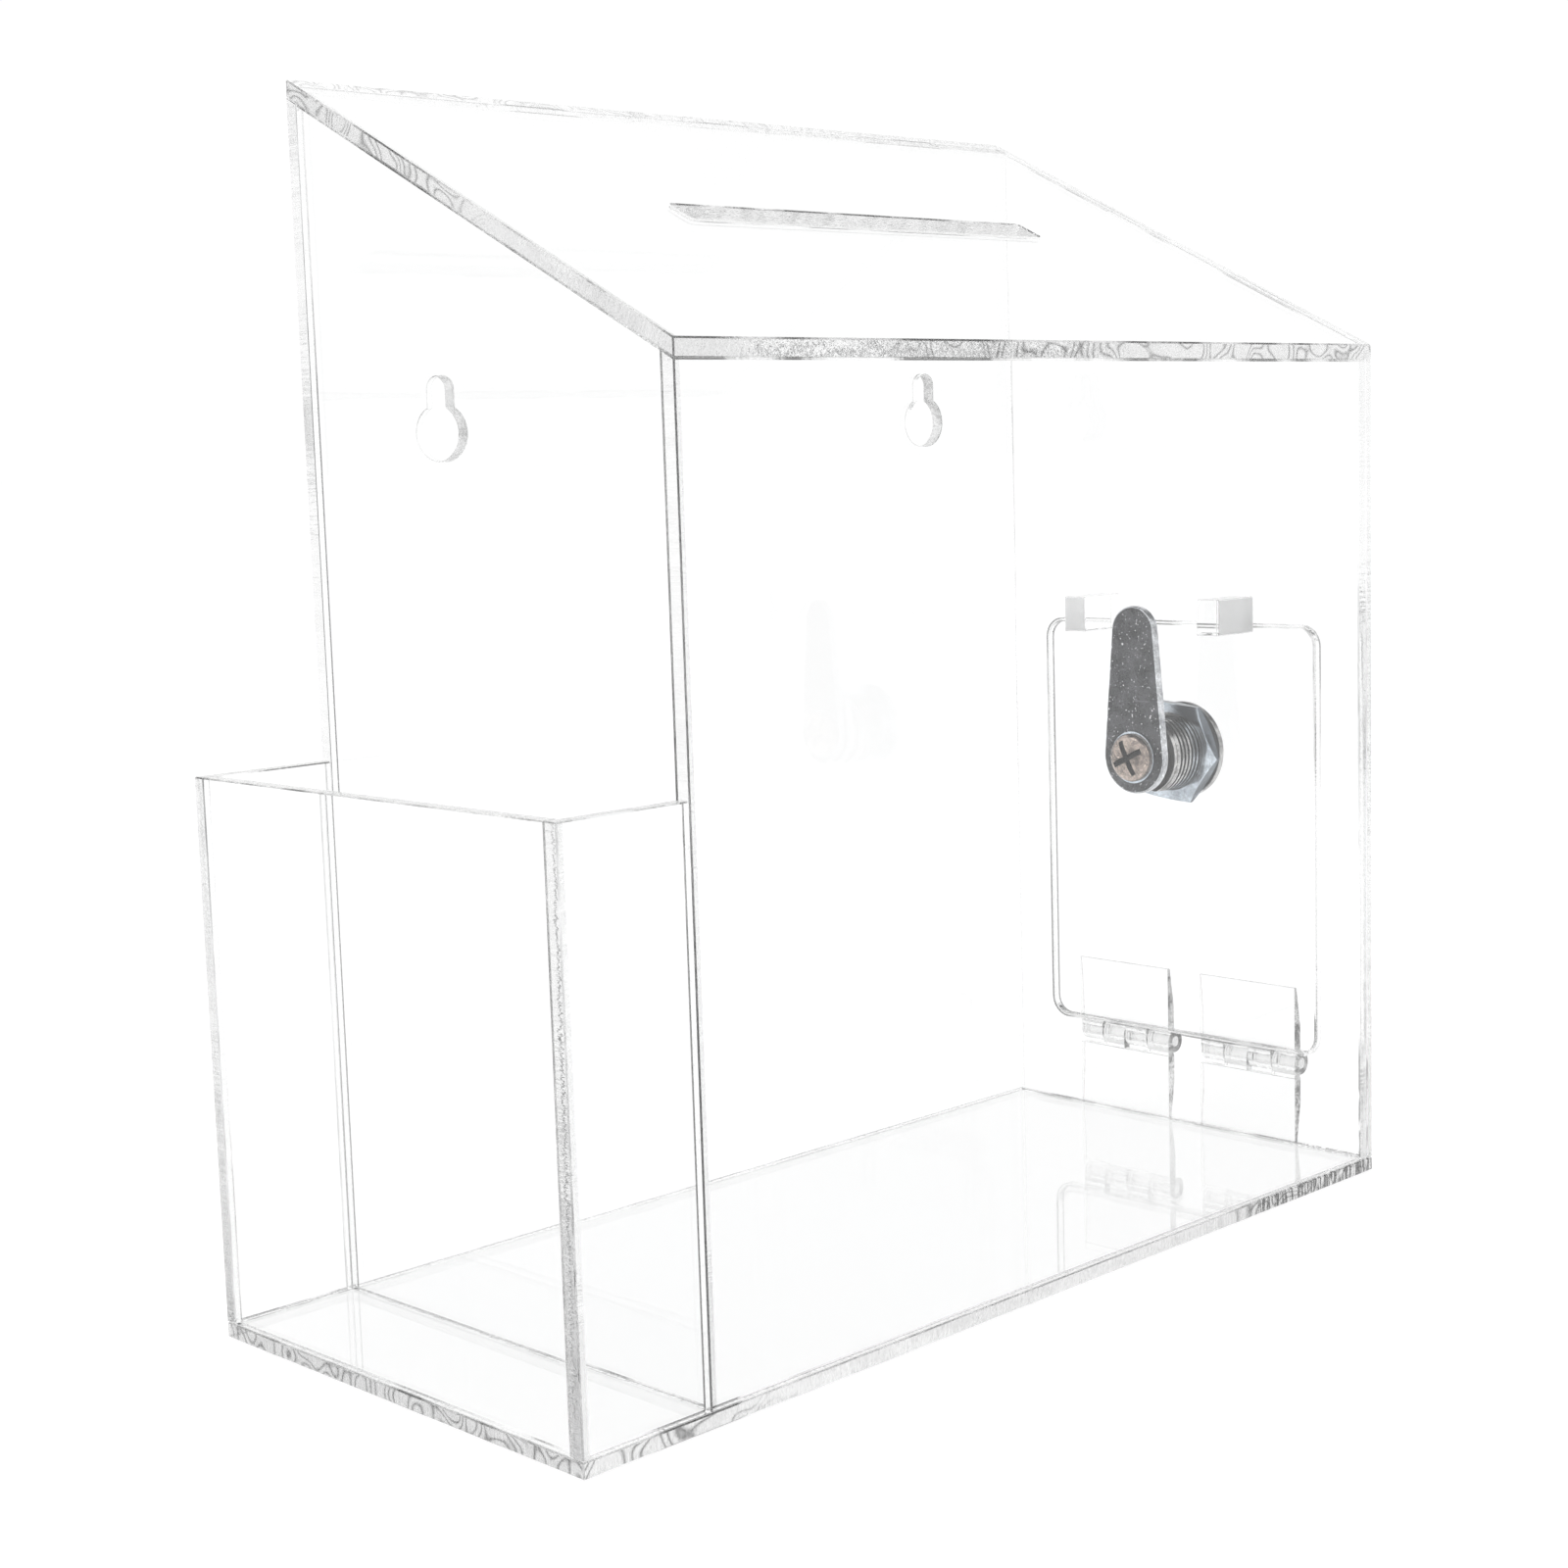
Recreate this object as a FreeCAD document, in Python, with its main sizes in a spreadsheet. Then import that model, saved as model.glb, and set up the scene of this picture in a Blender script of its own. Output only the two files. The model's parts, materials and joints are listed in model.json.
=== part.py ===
import FreeCAD, Part
import math
import os
import re
import Sketcher

# Donation box of clear acrylic sheet with a sloping slotted roof, a leaflet pocket on its left
# side and a locking access door in its right side.
#
# Frame: origin at the centre of the base plate's underside, +X towards the door, +Y towards the
# back wall that hangs on the keyholes, +Z up.  All sizes are in millimetres.

vec = FreeCAD.Vector
doc = FreeCAD.newDocument("DonationBox")

# ---------------------------------------------------------------- driving dimensions

DIMENSIONS = {
    # acrylic sheet and outer sizes of the box
    "sheet": (3.0, "thickness of every acrylic sheet"),
    "box_width": (200.0, "outer width of the money box, without the pocket"),
    "box_depth": (103.0, "outer depth"),
    "front_height": (180.0, "height of the roof's front edge"),
    "back_height": (232.0, "height of the roof's back edge"),
    "pocket_width": (28.0, "how far the leaflet pocket stands out to the left"),
    "pocket_height": (106.0, "height of the pocket's rim"),
    # slot in the roof
    "slot_length": (100.0, "slot along the width of the box"),
    "slot_width": (7.0, "slot up the slope"),
    "slot_corner": (1.0, "corner radius of the slot"),
    # keyholes in the back wall
    "keyhole_inset": (32.0, "keyhole centre to the side of the box"),
    "keyhole_height": (167.0, "height of the keyhole's round entry"),
    "keyhole_radius": (5.5, "round entry"),
    "keyhole_neck": (2.6, "half the width of the neck"),
    "keyhole_rise": (8.4, "entry centre to neck centre"),
    # door and its opening
    "opening_width": (75.0, "door opening along the depth of the box"),
    "opening_height": (96.0, "door opening, vertical"),
    "opening_bottom": (24.0, "underside of the box to the opening"),
    "opening_corner": (4.5, "corner radius of the opening"),
    "door_gap": (0.4, "gap all round the door"),
    # blocks that stop the door from swinging inwards
    "stop_thickness": (6.0, "stop block, along the wall"),
    "stop_height": (8.0, "stop block, vertical"),
    "stop_spacing": (37.0, "centre to centre of the two stop blocks"),
    "stop_overlap": (1.7, "how far a stop block hangs below the opening's top"),
    # butt hinges
    "hinge_width": (26.0, "length of one hinge along its pin"),
    "hinge_spacing": (35.0, "centre to centre of the two hinges"),
    "pin_drop": (3.2, "opening's lower edge down to the pin"),
    "knuckle_clearance": (0.2, "gap between a knuckle and the wall"),
    "pin_radius": (1.2, "hinge pin"),
    "pin_play": (0.05, "running clearance of the pin in the door leaf"),
    "knuckle_radius": (2.6, "outside of a knuckle"),
    "knuckle_gap": (0.3, "gap between neighbouring knuckles"),
    "leaf_clearance": (0.5, "gap between a leaf's near edge and the other leaf's knuckles"),
    "leaf_shoulder": (9.0, "pin to where a leaf starts to thin down"),
    "leaf_thickness": (2.2, "leaf beside the knuckles"),
    "leaf_tip": (0.8, "leaf at its far edge"),
    # cam lock, lengths measured from the door's outer face
    "lock_drop": (29.3, "opening's top down to the lock's axis"),
    "bore_radius": (6.0, "bore for the plug"),
    "barrel_wall": (3.0, "metal round the bore, which makes the barrel's radius"),
    "flat_depth": (1.0, "how deep the two flats are cut into the barrel"),
    "barrel_length": (16.0, "barrel under its head"),
    "barrel_play": (0.1, "gap between the barrel and the door's hole"),
    "head_overhang": (2.0, "how far the round head stands out past the barrel"),
    "head_rim": (1.2, "straight rim of the head"),
    "head_height": (2.8, "head, with its bevel"),
    "plug_play": (0.05, "running clearance of the plug"),
    "plug_head_step": (1.2, "how much wider than the bore the recess for the plug's head is"),
    "plug_head_height": (1.4, "depth of that recess"),
    "plug_inset": (0.2, "how far the plug's face lies inside the head"),
    "shank_width": (7.4, "square shank of the plug"),
    "shank_short": (0.2, "how far the shank ends inside the cam, so that the screw clamps it"),
    "shank_play": (0.05, "gap between the shank and a square hole, each side"),
    "nut_wall": (2.0, "barrel to the flats of the nut"),
    "nut_height": (3.0, "thickness of the nut"),
    "nut_turn": (6.0, "how far the tightened nut's point is from vertical, in degrees"),
    "stop_plate": (0.8, "thickness of the stop washer"),
    "turn_angle": (90.0, "quarter turn of the plug, in degrees"),
    "tooth_angle": (28.0, "angle taken by the stop washer's tooth"),
    "tooth_play": (0.3, "gap round the stop washer"),
    "tooth_slack": (1.0, "angle left free at each end of the turn, in degrees"),
    "ring_step": (0.4, "how far the stop ring is set in from the barrel's side"),
    "cam_thickness": (2.0, "cam plate"),
    "cam_hub": (8.3, "radius of the cam round the shank"),
    "cam_tip": (5.8, "radius of the cam's tip"),
    "cam_reach": (28.2, "axis to the centre of the cam's tip"),
    "washer_radius": (5.9, "washer under the cam screw"),
    "washer_height": (0.6, "thickness of that washer"),
    "washer_play": (0.2, "gap between the washer's hole and the screw"),
    "screw_radius": (2.0, "thread of the cam screw"),
    "screw_length": (6.4, "cam screw under its head"),
    "screw_head_radius": (5.4, "pan head of the cam screw"),
    "screw_head_height": (2.2, "pan head of the cam screw"),
    "screw_dome": (1.5, "rounding of the pan head"),
    "recess_width": (1.0, "arm of the cross recess"),
    "recess_length": (6.0, "cross recess, end to end"),
    "recess_depth": (1.3, "cross recess"),
    # wafers in the plug
    "wafer_pitch": (2.0, "wafer to wafer"),
    "wafer_first": (2.0, "door's outer face to the first wafer"),
    "wafer_thickness": (0.9, "wafer plate"),
    "wafer_play": (0.1, "gap between a wafer and its slot, each side"),
    "wafer_half_height": (2.5, "half the height of a wafer"),
    "wafer_travel": (1.2, "how far a wafer moves into its groove when the key is drawn"),
    "groove_room": (0.4, "groove beyond that travel"),
    "keyway_half_length": (3.4, "half the long side of the keyway"),
    "keyway_half_width": (1.0, "half the short side of the keyway"),
    "lug_reach": (1.4, "how far a wafer's lug stands out beside it"),
    "lug_width": (1.05, "width of that lug, along the wafer"),
    "lug_lead": (0.15, "how far the lug reaches past the axis towards the locking end"),
    "spring_radius": (0.38, "mean radius of a wafer spring"),
    "spring_wire": (0.11, "wire radius of a wafer spring"),
    "spring_length": (2.9, "length of a wafer spring"),
}
WAFER_COUNT = 5
SPRING_TURNS = 5

sizes = doc.addObject("Spreadsheet::Sheet", "Sizes")
for row, (alias, (number, note)) in enumerate(DIMENSIONS.items(), start=1):
    sizes.set(f"A{row}", note)
    sizes.set(f"B{row}", str(number))
    sizes.setAlias(f"B{row}", alias)
doc.recompute()

# ---------------------------------------------------------------- derived places, as expressions

LEFT = "((pocket_width - box_width) / 2)"
RIGHT = "((pocket_width + box_width) / 2)"
POCKET_LEFT = f"({LEFT} - pocket_width)"
FRONT = "(-box_depth / 2)"
BACK = "(box_depth / 2)"
SLOPE = "((back_height - front_height) / box_depth)"
ROOF_DROP = f"(sheet * sqrt(1 + {SLOPE} ^ 2))"
OPENING_TOP = "(opening_bottom + opening_height)"
LOCK_HEIGHT = f"({OPENING_TOP} - lock_drop)"
PIN_HEIGHT = "(opening_bottom - pin_drop)"
PIN_STANDOFF = "(knuckle_radius + knuckle_clearance)"
LEAF_ROOT = "(knuckle_radius + leaf_clearance)"
LEAF_LENGTH = f"({PIN_HEIGHT} - sheet)"
BARREL_RADIUS = "(bore_radius + barrel_wall)"
BARREL_FLAT = f"({BARREL_RADIUS} - flat_depth)"
HEAD_RADIUS = f"({BARREL_RADIUS} + head_overhang)"
PLUG_HEAD_RADIUS = "(bore_radius + plug_head_step)"
WAFER_END = "(sqrt((bore_radius - plug_play) ^ 2 - wafer_half_height ^ 2) - wafer_play)"
GROOVE_END = f"({WAFER_END} + wafer_travel + groove_room)"
CAM_FACE = "(barrel_length + stop_plate + plug_play)"
STOP_LENGTH = "(barrel_length - sheet)"


def roof_underside(depth):
    """Height of the roof's underside at a depth, both as expressions."""
    return f"(front_height - {ROOF_DROP} + {SLOPE} * ({depth} + box_depth / 2))"


# ---------------------------------------------------------------- helpers


def linked(expression):
    """The expression with each alias pointing at the spreadsheet."""
    return re.sub(r"[a-z]+(?:_[a-z]+)*", lambda m: f"Sizes.{m[0]}" if m[0] in DIMENSIONS else m[0],
                  str(expression))


def value(expression):
    """What an expression is worth now."""
    result = sizes.evalExpression(linked(expression))
    return float(getattr(result, "Value", result))


def bind(thing, prop, expression):
    thing.setExpression(prop, linked(expression))


def move(thing, x="0", y="0", z="0", turn=None):
    """Places a thing at x, y, z, after a turn given as a FreeCAD.Rotation."""
    thing.Placement = FreeCAD.Placement(vec(), turn or FreeCAD.Rotation())
    for axis, expression in zip("xyz", (x, y, z)):
        bind(thing, f"Placement.Base.{axis}", expression)
    return thing


def tie(sketch, kind, geometry, point, expression):
    """Fixes one coordinate of a sketch point to an expression."""
    number = sketch.addConstraint(Sketcher.Constraint(kind, -1, 1, geometry, point, value(expression)))
    bind(sketch, f"Constraints[{number}]", expression)


def tie_radius(sketch, geometry, expression):
    number = sketch.addConstraint(Sketcher.Constraint("Radius", geometry, value(expression)))
    bind(sketch, f"Constraints[{number}]", expression)


def join(sketch, kind, *pairs):
    """Adds one constraint between end points for each (geometry, point, geometry, point)."""
    for pair in pairs:
        sketch.addConstraint(Sketcher.Constraint(kind, *pair))


def polygon(sketch, corners):
    """A closed polygon whose corners are pairs of expressions."""
    first = sketch.GeometryCount
    spots = [vec(value(x), value(y), 0) for x, y in corners]
    for start, end in zip(spots, spots[1:] + spots[:1]):
        sketch.addGeometry(Part.LineSegment(start, end), False)
    for side in range(len(corners)):
        join(sketch, "Coincident", (first + side, 2, first + (side + 1) % len(corners), 1))
    for side, (x, y) in enumerate(corners):
        tie(sketch, "DistanceX", first + side, 1, x)
        tie(sketch, "DistanceY", first + side, 1, y)


def arc(sketch, x, y, radius, start, end):
    """An arc counted anticlockwise from start to end, in radians; returns its number."""
    whole = Part.Circle(vec(x, y, 0), vec(0, 0, 1), radius)
    return sketch.addGeometry(Part.ArcOfCircle(whole, start, end), False)


def rounded_rectangle(sketch, left, right, low, high, corner):
    """A rectangle with four equal rounded corners."""
    x0, x1, y0, y1, r = (value(e) for e in (left, right, low, high, corner))
    ends = [
        ((x0 + r, y0), (x1 - r, y0)),
        ((x1, y0 + r), (x1, y1 - r)),
        ((x1 - r, y1), (x0 + r, y1)),
        ((x0, y1 - r), (x0, y0 + r)),
    ]
    lines = [sketch.addGeometry(Part.LineSegment(vec(*a, 0), vec(*b, 0)), False) for a, b in ends]
    centres = [(x1 - r, y0 + r), (x1 - r, y1 - r), (x0 + r, y1 - r), (x0 + r, y0 + r)]
    quarter = math.pi / 2
    arcs = [arc(sketch, x, y, r, (n - 1) * quarter, n * quarter) for n, (x, y) in enumerate(centres)]
    for n, line in enumerate(lines):
        sketch.addConstraint(Sketcher.Constraint("Vertical" if n % 2 else "Horizontal", line))
        join(sketch, "Tangent", (line, 2, arcs[n], 1), (arcs[n], 2, lines[(n + 1) % 4], 1))
    for other in arcs[1:]:
        sketch.addConstraint(Sketcher.Constraint("Equal", arcs[0], other))
    tie_radius(sketch, arcs[0], corner)
    tie(sketch, "DistanceY", lines[0], 1, low)
    tie(sketch, "DistanceX", lines[1], 1, right)
    tie(sketch, "DistanceY", lines[2], 1, high)
    tie(sketch, "DistanceX", lines[3], 1, left)


def new_body(label):
    body = doc.addObject("PartDesign::Body", label)
    body.Label = label
    return body


def new_sketch(body, plane, name):
    """A sketch on one of the body's own origin planes."""
    sketch = body.newObject("Sketcher::SketchObject", f"{body.Name}_{name}")
    base = next(f for f in body.Origin.OriginFeatures if f.Role == plane)
    sketch.AttachmentSupport = (base, "")
    sketch.MapMode = "FlatFace"
    return sketch


def pad(body, sketch, length):
    feature = body.newObject("PartDesign::Pad", f"{sketch.Name}_pad")
    feature.Profile = sketch
    bind(feature, "Length", length)
    sketch.Visibility = False
    doc.recompute()
    return feature


def cut_through(body, sketch, reverse=False):
    """Pockets the sketch right through the body and makes sure that material went."""
    before = body.Shape.Volume
    feature = body.newObject("PartDesign::Pocket", f"{sketch.Name}_pocket")
    feature.Profile = sketch
    feature.Type = "ThroughAll"
    feature.Reversed = reverse
    sketch.Visibility = False
    doc.recompute()
    if body.Shape.Volume > before - 1e-3:
        raise RuntimeError(f"{sketch.Name} cut nothing")
    return feature


ALONG_X = FreeCAD.Rotation(vec(0, 1, 0), 90)
ALONG_Y = FreeCAD.Rotation(vec(1, 0, 0), -90)


def box(name, x, y, z):
    """A block between the planes given as three pairs of expressions."""
    block = doc.addObject("Part::Box", name)
    for prop, (low, high) in zip(("Length", "Width", "Height"), (x, y, z)):
        bind(block, prop, f"({high}) - ({low})")
    return move(block, x[0], y[0], z[0])


def rod(name, radius, low, high, angle=None, start=0):
    """A round bar along X from low to high; with an angle it is only that sector of the bar.

    A sector starts from -Z and grows towards +Y.
    """
    bar = doc.addObject("Part::Cylinder", name)
    bind(bar, "Radius", radius)
    bind(bar, "Height", f"({high}) - ({low})")
    if angle:
        bind(bar, "Angle", angle)
    return move(bar, low, turn=ALONG_X * FreeCAD.Rotation(vec(0, 0, 1), start))


def fuse(name, *shapes):
    whole = doc.addObject("Part::MultiFuse", name)
    whole.Shapes = list(shapes)
    return whole


def cut(name, base, *tools):
    """The base less the tools."""
    rest = doc.addObject("Part::Cut", name)
    rest.Base = base
    rest.Tool = tools[0] if len(tools) == 1 else fuse(f"{name}_tools", *tools)
    return rest


subparts = []


def subpart(thing, label):
    """Names a finished sub-part and puts it on the list that is written out."""
    thing.Label = label
    subparts.append(thing)
    return thing


# ---------------------------------------------------------------- acrylic sheets of the box


def flat_plate(label, left, right, front, back, low, high):
    """A sheet cut square, standing or lying between six planes."""
    body = new_body(label)
    sketch = new_sketch(body, "XY_Plane", "outline")
    polygon(sketch, [(left, front), (right, front), (right, back), (left, back)])
    pad(body, sketch, f"({high}) - ({low})")
    move(body, z=low)
    return subpart(body, label)


def wall(label, left, right, front, back):
    """A wall on the base plate, its top cut to the slope of the roof; returns its body."""
    body = new_body(label)
    sketch = new_sketch(body, "YZ_Plane", "outline")
    top_back, top_front = (back, roof_underside(back)), (front, roof_underside(front))
    polygon(sketch, [(front, "sheet"), (back, "sheet"), top_back, top_front])
    pad(body, sketch, f"({right}) - ({left})")
    move(body, left)
    return subpart(body, label)


def cut_keyholes(body):
    """Two keyholes: a round entry with a narrower neck above it."""
    sketch = new_sketch(body, "XZ_Plane", "keyholes")
    entry, neck, rise = (value(e) for e in ("keyhole_radius", "keyhole_neck", "keyhole_rise"))
    foot = math.sqrt(entry ** 2 - neck ** 2)
    open_angle = math.asin(neck / entry)
    for x in ("keyhole_inset", "box_width - keyhole_inset"):
        cx, cz = value(x), value("keyhole_height")
        big = arc(sketch, cx, cz, entry, math.pi / 2 + open_angle, 2.5 * math.pi - open_angle)
        small = arc(sketch, cx, cz + rise, neck, 0, math.pi)
        sides = []
        for side in (1, -1):
            low, high = vec(cx + side * neck, cz + foot, 0), vec(cx + side * neck, cz + rise, 0)
            sides.append(sketch.addGeometry(Part.LineSegment(low, high), False))
        join(sketch, "Coincident", (big, 2, sides[0], 1), (big, 1, sides[1], 1))
        join(sketch, "Tangent", (sides[0], 2, small, 1), (small, 2, sides[1], 2))
        for line in sides:
            sketch.addConstraint(Sketcher.Constraint("Vertical", line))
        tie_radius(sketch, big, "keyhole_radius")
        tie_radius(sketch, small, "keyhole_neck")
        tie(sketch, "DistanceX", big, 3, x)
        tie(sketch, "DistanceY", big, 3, "keyhole_height")
        tie(sketch, "DistanceY", small, 3, "keyhole_height + keyhole_rise")
    cut_through(body, sketch)


def build_shell():
    flat_plate("base_plate", POCKET_LEFT, RIGHT, FRONT, BACK, "0", "sheet")
    wall("front_panel", LEFT, RIGHT, FRONT, f"({FRONT} + sheet)")
    cut_keyholes(wall("back_panel", LEFT, RIGHT, f"({BACK} - sheet)", BACK))
    inner = (f"({FRONT} + sheet)", f"({BACK} - sheet)")
    wall("left_side_panel", LEFT, f"({LEFT} + sheet)", *inner)
    right_side = wall("right_side_panel", f"({RIGHT} - sheet)", RIGHT, *inner)
    opening = new_sketch(right_side, "YZ_Plane", "opening")
    half = "opening_width / 2"
    rounded_rectangle(opening, f"-{half}", half, "opening_bottom", OPENING_TOP, "opening_corner")
    cut_through(right_side, opening, reverse=True)
    standing = ("sheet", "pocket_height")
    flat_plate("pocket_outer_panel", POCKET_LEFT, f"({POCKET_LEFT} + sheet)", *inner, *standing)
    for label, front in (("pocket_front_panel", FRONT), ("pocket_back_panel", f"({BACK} - sheet)")):
        flat_plate(label, POCKET_LEFT, LEFT, front, f"({front} + sheet)", *standing)


def build_roof():
    """The slotted roof, drawn lying flat with its top face at zero and then tilted."""
    body = new_body("roof_panel")
    outline = new_sketch(body, "YZ_Plane", "outline")
    length = f"(box_depth * sqrt(1 + {SLOPE} ^ 2))"
    shear = f"(sheet * {SLOPE})"
    low_front, low_back = (f"-{shear}", "-sheet"), (f"({length} - {shear})", "-sheet")
    polygon(outline, [("0", "0"), low_front, low_back, (length, "0")])
    pad(body, outline, "box_width")
    slot = new_sketch(body, "XY_Plane", "slot")
    middle, half_length, half_width = "box_width / 2", "slot_length / 2", "slot_width / 2"
    rounded_rectangle(slot, f"{middle} - {half_length}", f"{middle} + {half_length}",
                      f"{length} / 2 - {half_width}", f"{length} / 2 + {half_width}", "slot_corner")
    cut_through(body, slot)
    move(body, LEFT, FRONT, "front_height", FreeCAD.Rotation(vec(1, 0, 0), 1))
    bind(body, "Placement.Rotation.Angle", f"atan({SLOPE})")
    subpart(body, "roof_panel")


def build_stops():
    inner_face = f"({RIGHT} - sheet)"
    low = f"({OPENING_TOP} - stop_overlap)"
    for label, side in (("door_stop_front", "-1"), ("door_stop_rear", "1")):
        middle = f"({side} * stop_spacing / 2)"
        flat_plate(label, f"({inner_face} - {STOP_LENGTH})", inner_face, f"({middle} - stop_thickness / 2)",
                   f"({middle} + stop_thickness / 2)", low, f"({low} + stop_height)")


# ---------------------------------------------------------------- door and hinges


def build_door():
    """The door, cut out of the side wall, with a double-D hole for the lock."""
    body = new_body("access_door")
    outline = new_sketch(body, "YZ_Plane", "outline")
    half = "(opening_width / 2 - door_gap)"
    rounded_rectangle(outline, f"-{half}", half, "opening_bottom + door_gap", f"{OPENING_TOP} - door_gap",
                      "opening_corner - door_gap")
    pad(body, outline, "sheet")
    hole = new_sketch(body, "YZ_Plane", "lock_hole")
    radius, flat = value(f"{BARREL_RADIUS} + barrel_play"), value(f"{BARREL_FLAT} + barrel_play")
    height, reach = value(LOCK_HEIGHT), math.sqrt(radius ** 2 - flat ** 2)
    lean = math.asin(flat / radius)
    right_arc = arc(hole, 0, height, radius, -lean, lean)
    left_arc = arc(hole, 0, height, radius, math.pi - lean, math.pi + lean)
    top, low = (
        hole.addGeometry(Part.LineSegment(vec(side * reach, z, 0), vec(-side * reach, z, 0)), False)
        for side, z in ((1, height + flat), (-1, height - flat))
    )
    join(hole, "Coincident", (right_arc, 2, top, 1), (top, 2, left_arc, 1), (left_arc, 2, low, 1),
         (low, 2, right_arc, 1), (right_arc, 3, left_arc, 3))
    for line in (top, low):
        hole.addConstraint(Sketcher.Constraint("Horizontal", line))
    hole.addConstraint(Sketcher.Constraint("Equal", right_arc, left_arc))
    tie_radius(hole, right_arc, f"{BARREL_RADIUS} + barrel_play")
    tie(hole, "DistanceX", right_arc, 3, "0")
    tie(hole, "DistanceY", right_arc, 3, LOCK_HEIGHT)
    tie(hole, "DistanceY", top, 1, f"{LOCK_HEIGHT} + {BARREL_FLAT} + barrel_play")
    tie(hole, "DistanceY", low, 1, f"{LOCK_HEIGHT} - {BARREL_FLAT} - barrel_play")
    cut_through(body, hole, reverse=True)
    move(body, f"({RIGHT} - sheet)")
    subpart(body, "access_door")


KNUCKLES = 4
STATION_PITCH = f"(hinge_width / {KNUCKLES})"


def hinge_leaf(label, station, up, stations, bore):
    """A moulded leaf with its knuckles, around a pin along Y.

    up is 1 for the leaf above the pin and -1 for the one below; stations are the knuckles that
    it holds, counted from the back; bore is the radius of its pin hole.
    """
    back = f"(-{PIN_STANDOFF})"
    face = f"({back} + leaf_thickness)"
    sketch = doc.addObject("Sketcher::SketchObject", f"{label}_profile")
    polygon(sketch, [
        (back, f"{up} * {LEAF_ROOT}"),
        (face, f"{up} * {LEAF_ROOT}"),
        (face, f"{up} * leaf_shoulder"),
        (f"{back} + leaf_tip", f"{up} * {LEAF_LENGTH}"),
        (back, f"{up} * {LEAF_LENGTH}"),
    ])
    move(sketch, y="-hinge_width / 2", turn=FreeCAD.Rotation(vec(1, 0, 0), 90))
    plate = doc.addObject("Part::Extrusion", f"{label}_plate")
    plate.Base = sketch
    plate.DirMode = "Custom"
    plate.Dir = vec(0, 1, 0)
    plate.Solid = True
    bind(plate, "LengthFwd", "hinge_width")
    pieces = [plate]
    for number in stations:
        high = f"(hinge_width / 2 - {number} * {STATION_PITCH} - knuckle_gap / 2)"
        low = f"({high} - {STATION_PITCH} + knuckle_gap)"
        knuckle = doc.addObject("Part::Cylinder", f"{label}_knuckle")
        bind(knuckle, "Radius", "knuckle_radius")
        bind(knuckle, "Height", f"{high} - {low}")
        move(knuckle, y=low, turn=ALONG_Y)
        rise = ("0", f"{LEAF_ROOT} + knuckle_gap") if up > 0 else (f"-{LEAF_ROOT} - knuckle_gap", "0")
        web = box(f"{label}_web", ("-knuckle_radius", face), (low, high), rise)
        pieces += [knuckle, web]
    hole = doc.addObject("Part::Cylinder", f"{label}_bore")
    bind(hole, "Radius", bore)
    bind(hole, "Height", "hinge_width")
    move(hole, y="-hinge_width / 2", turn=ALONG_Y)
    leaf = cut(label, fuse(f"{label}_solid", *pieces), hole)
    move(leaf, f"{RIGHT} + {PIN_STANDOFF}", station, PIN_HEIGHT)
    subpart(leaf, label)


def build_hinges():
    for place, side in (("front", "-"), ("rear", "")):
        station = f"({side}hinge_spacing / 2)"
        hinge_leaf(f"hinge_{place}_door_leaf", station, 1, (0, 2), "pin_radius + pin_play")
        hinge_leaf(f"hinge_{place}_wall_leaf", station, -1, (1, 3), "pin_radius")
        pin = doc.addObject("Part::Cylinder", f"hinge_{place}_pin")
        bind(pin, "Radius", "pin_radius")
        bind(pin, "Height", "hinge_width - knuckle_gap")
        pin_end = f"{station} - (hinge_width - knuckle_gap) / 2"
        move(pin, f"{RIGHT} + {PIN_STANDOFF}", pin_end, PIN_HEIGHT, ALONG_Y)
        subpart(pin, f"hinge_{place}_pin")


# ---------------------------------------------------------------- cam lock

# Every piece of the lock is drawn round the X axis, with the door's outer face at x = 0 and the
# head of the lock at positive x, and is then moved to the lock's place in the door.

KEYWAY = (("-keyway_half_length", "keyway_half_length"), ("-keyway_half_width", "keyway_half_width"))
WAFER_ROOM = "(wafer_half_height + wafer_play)"
SHANK_HALF = "(shank_width / 2)"
HOLE_HALF = f"({SHANK_HALF} + shank_play)"
KEYWAY_DEPTH = f"(wafer_first + {WAFER_COUNT} * wafer_pitch - wafer_pitch / 2)"
LUG_LOW = "(lug_lead - lug_width)"
LUG_ROOM = "(lug_lead + wafer_travel + wafer_play)"
SPRING_LOW = f"({LUG_LOW} - spring_length - 2 * spring_wire)"
CAM_FAR = f"(-{CAM_FACE} - cam_thickness)"
SCREW_END = f"({CAM_FAR} - washer_height + screw_length)"


def into_door(thing, label):
    move(thing, RIGHT, z=LOCK_HEIGHT)
    return subpart(thing, label)


def square_hole(name, low, high):
    side = (f"-{HOLE_HALF}", HOLE_HALF)
    return box(name, (low, high), side, side)


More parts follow.
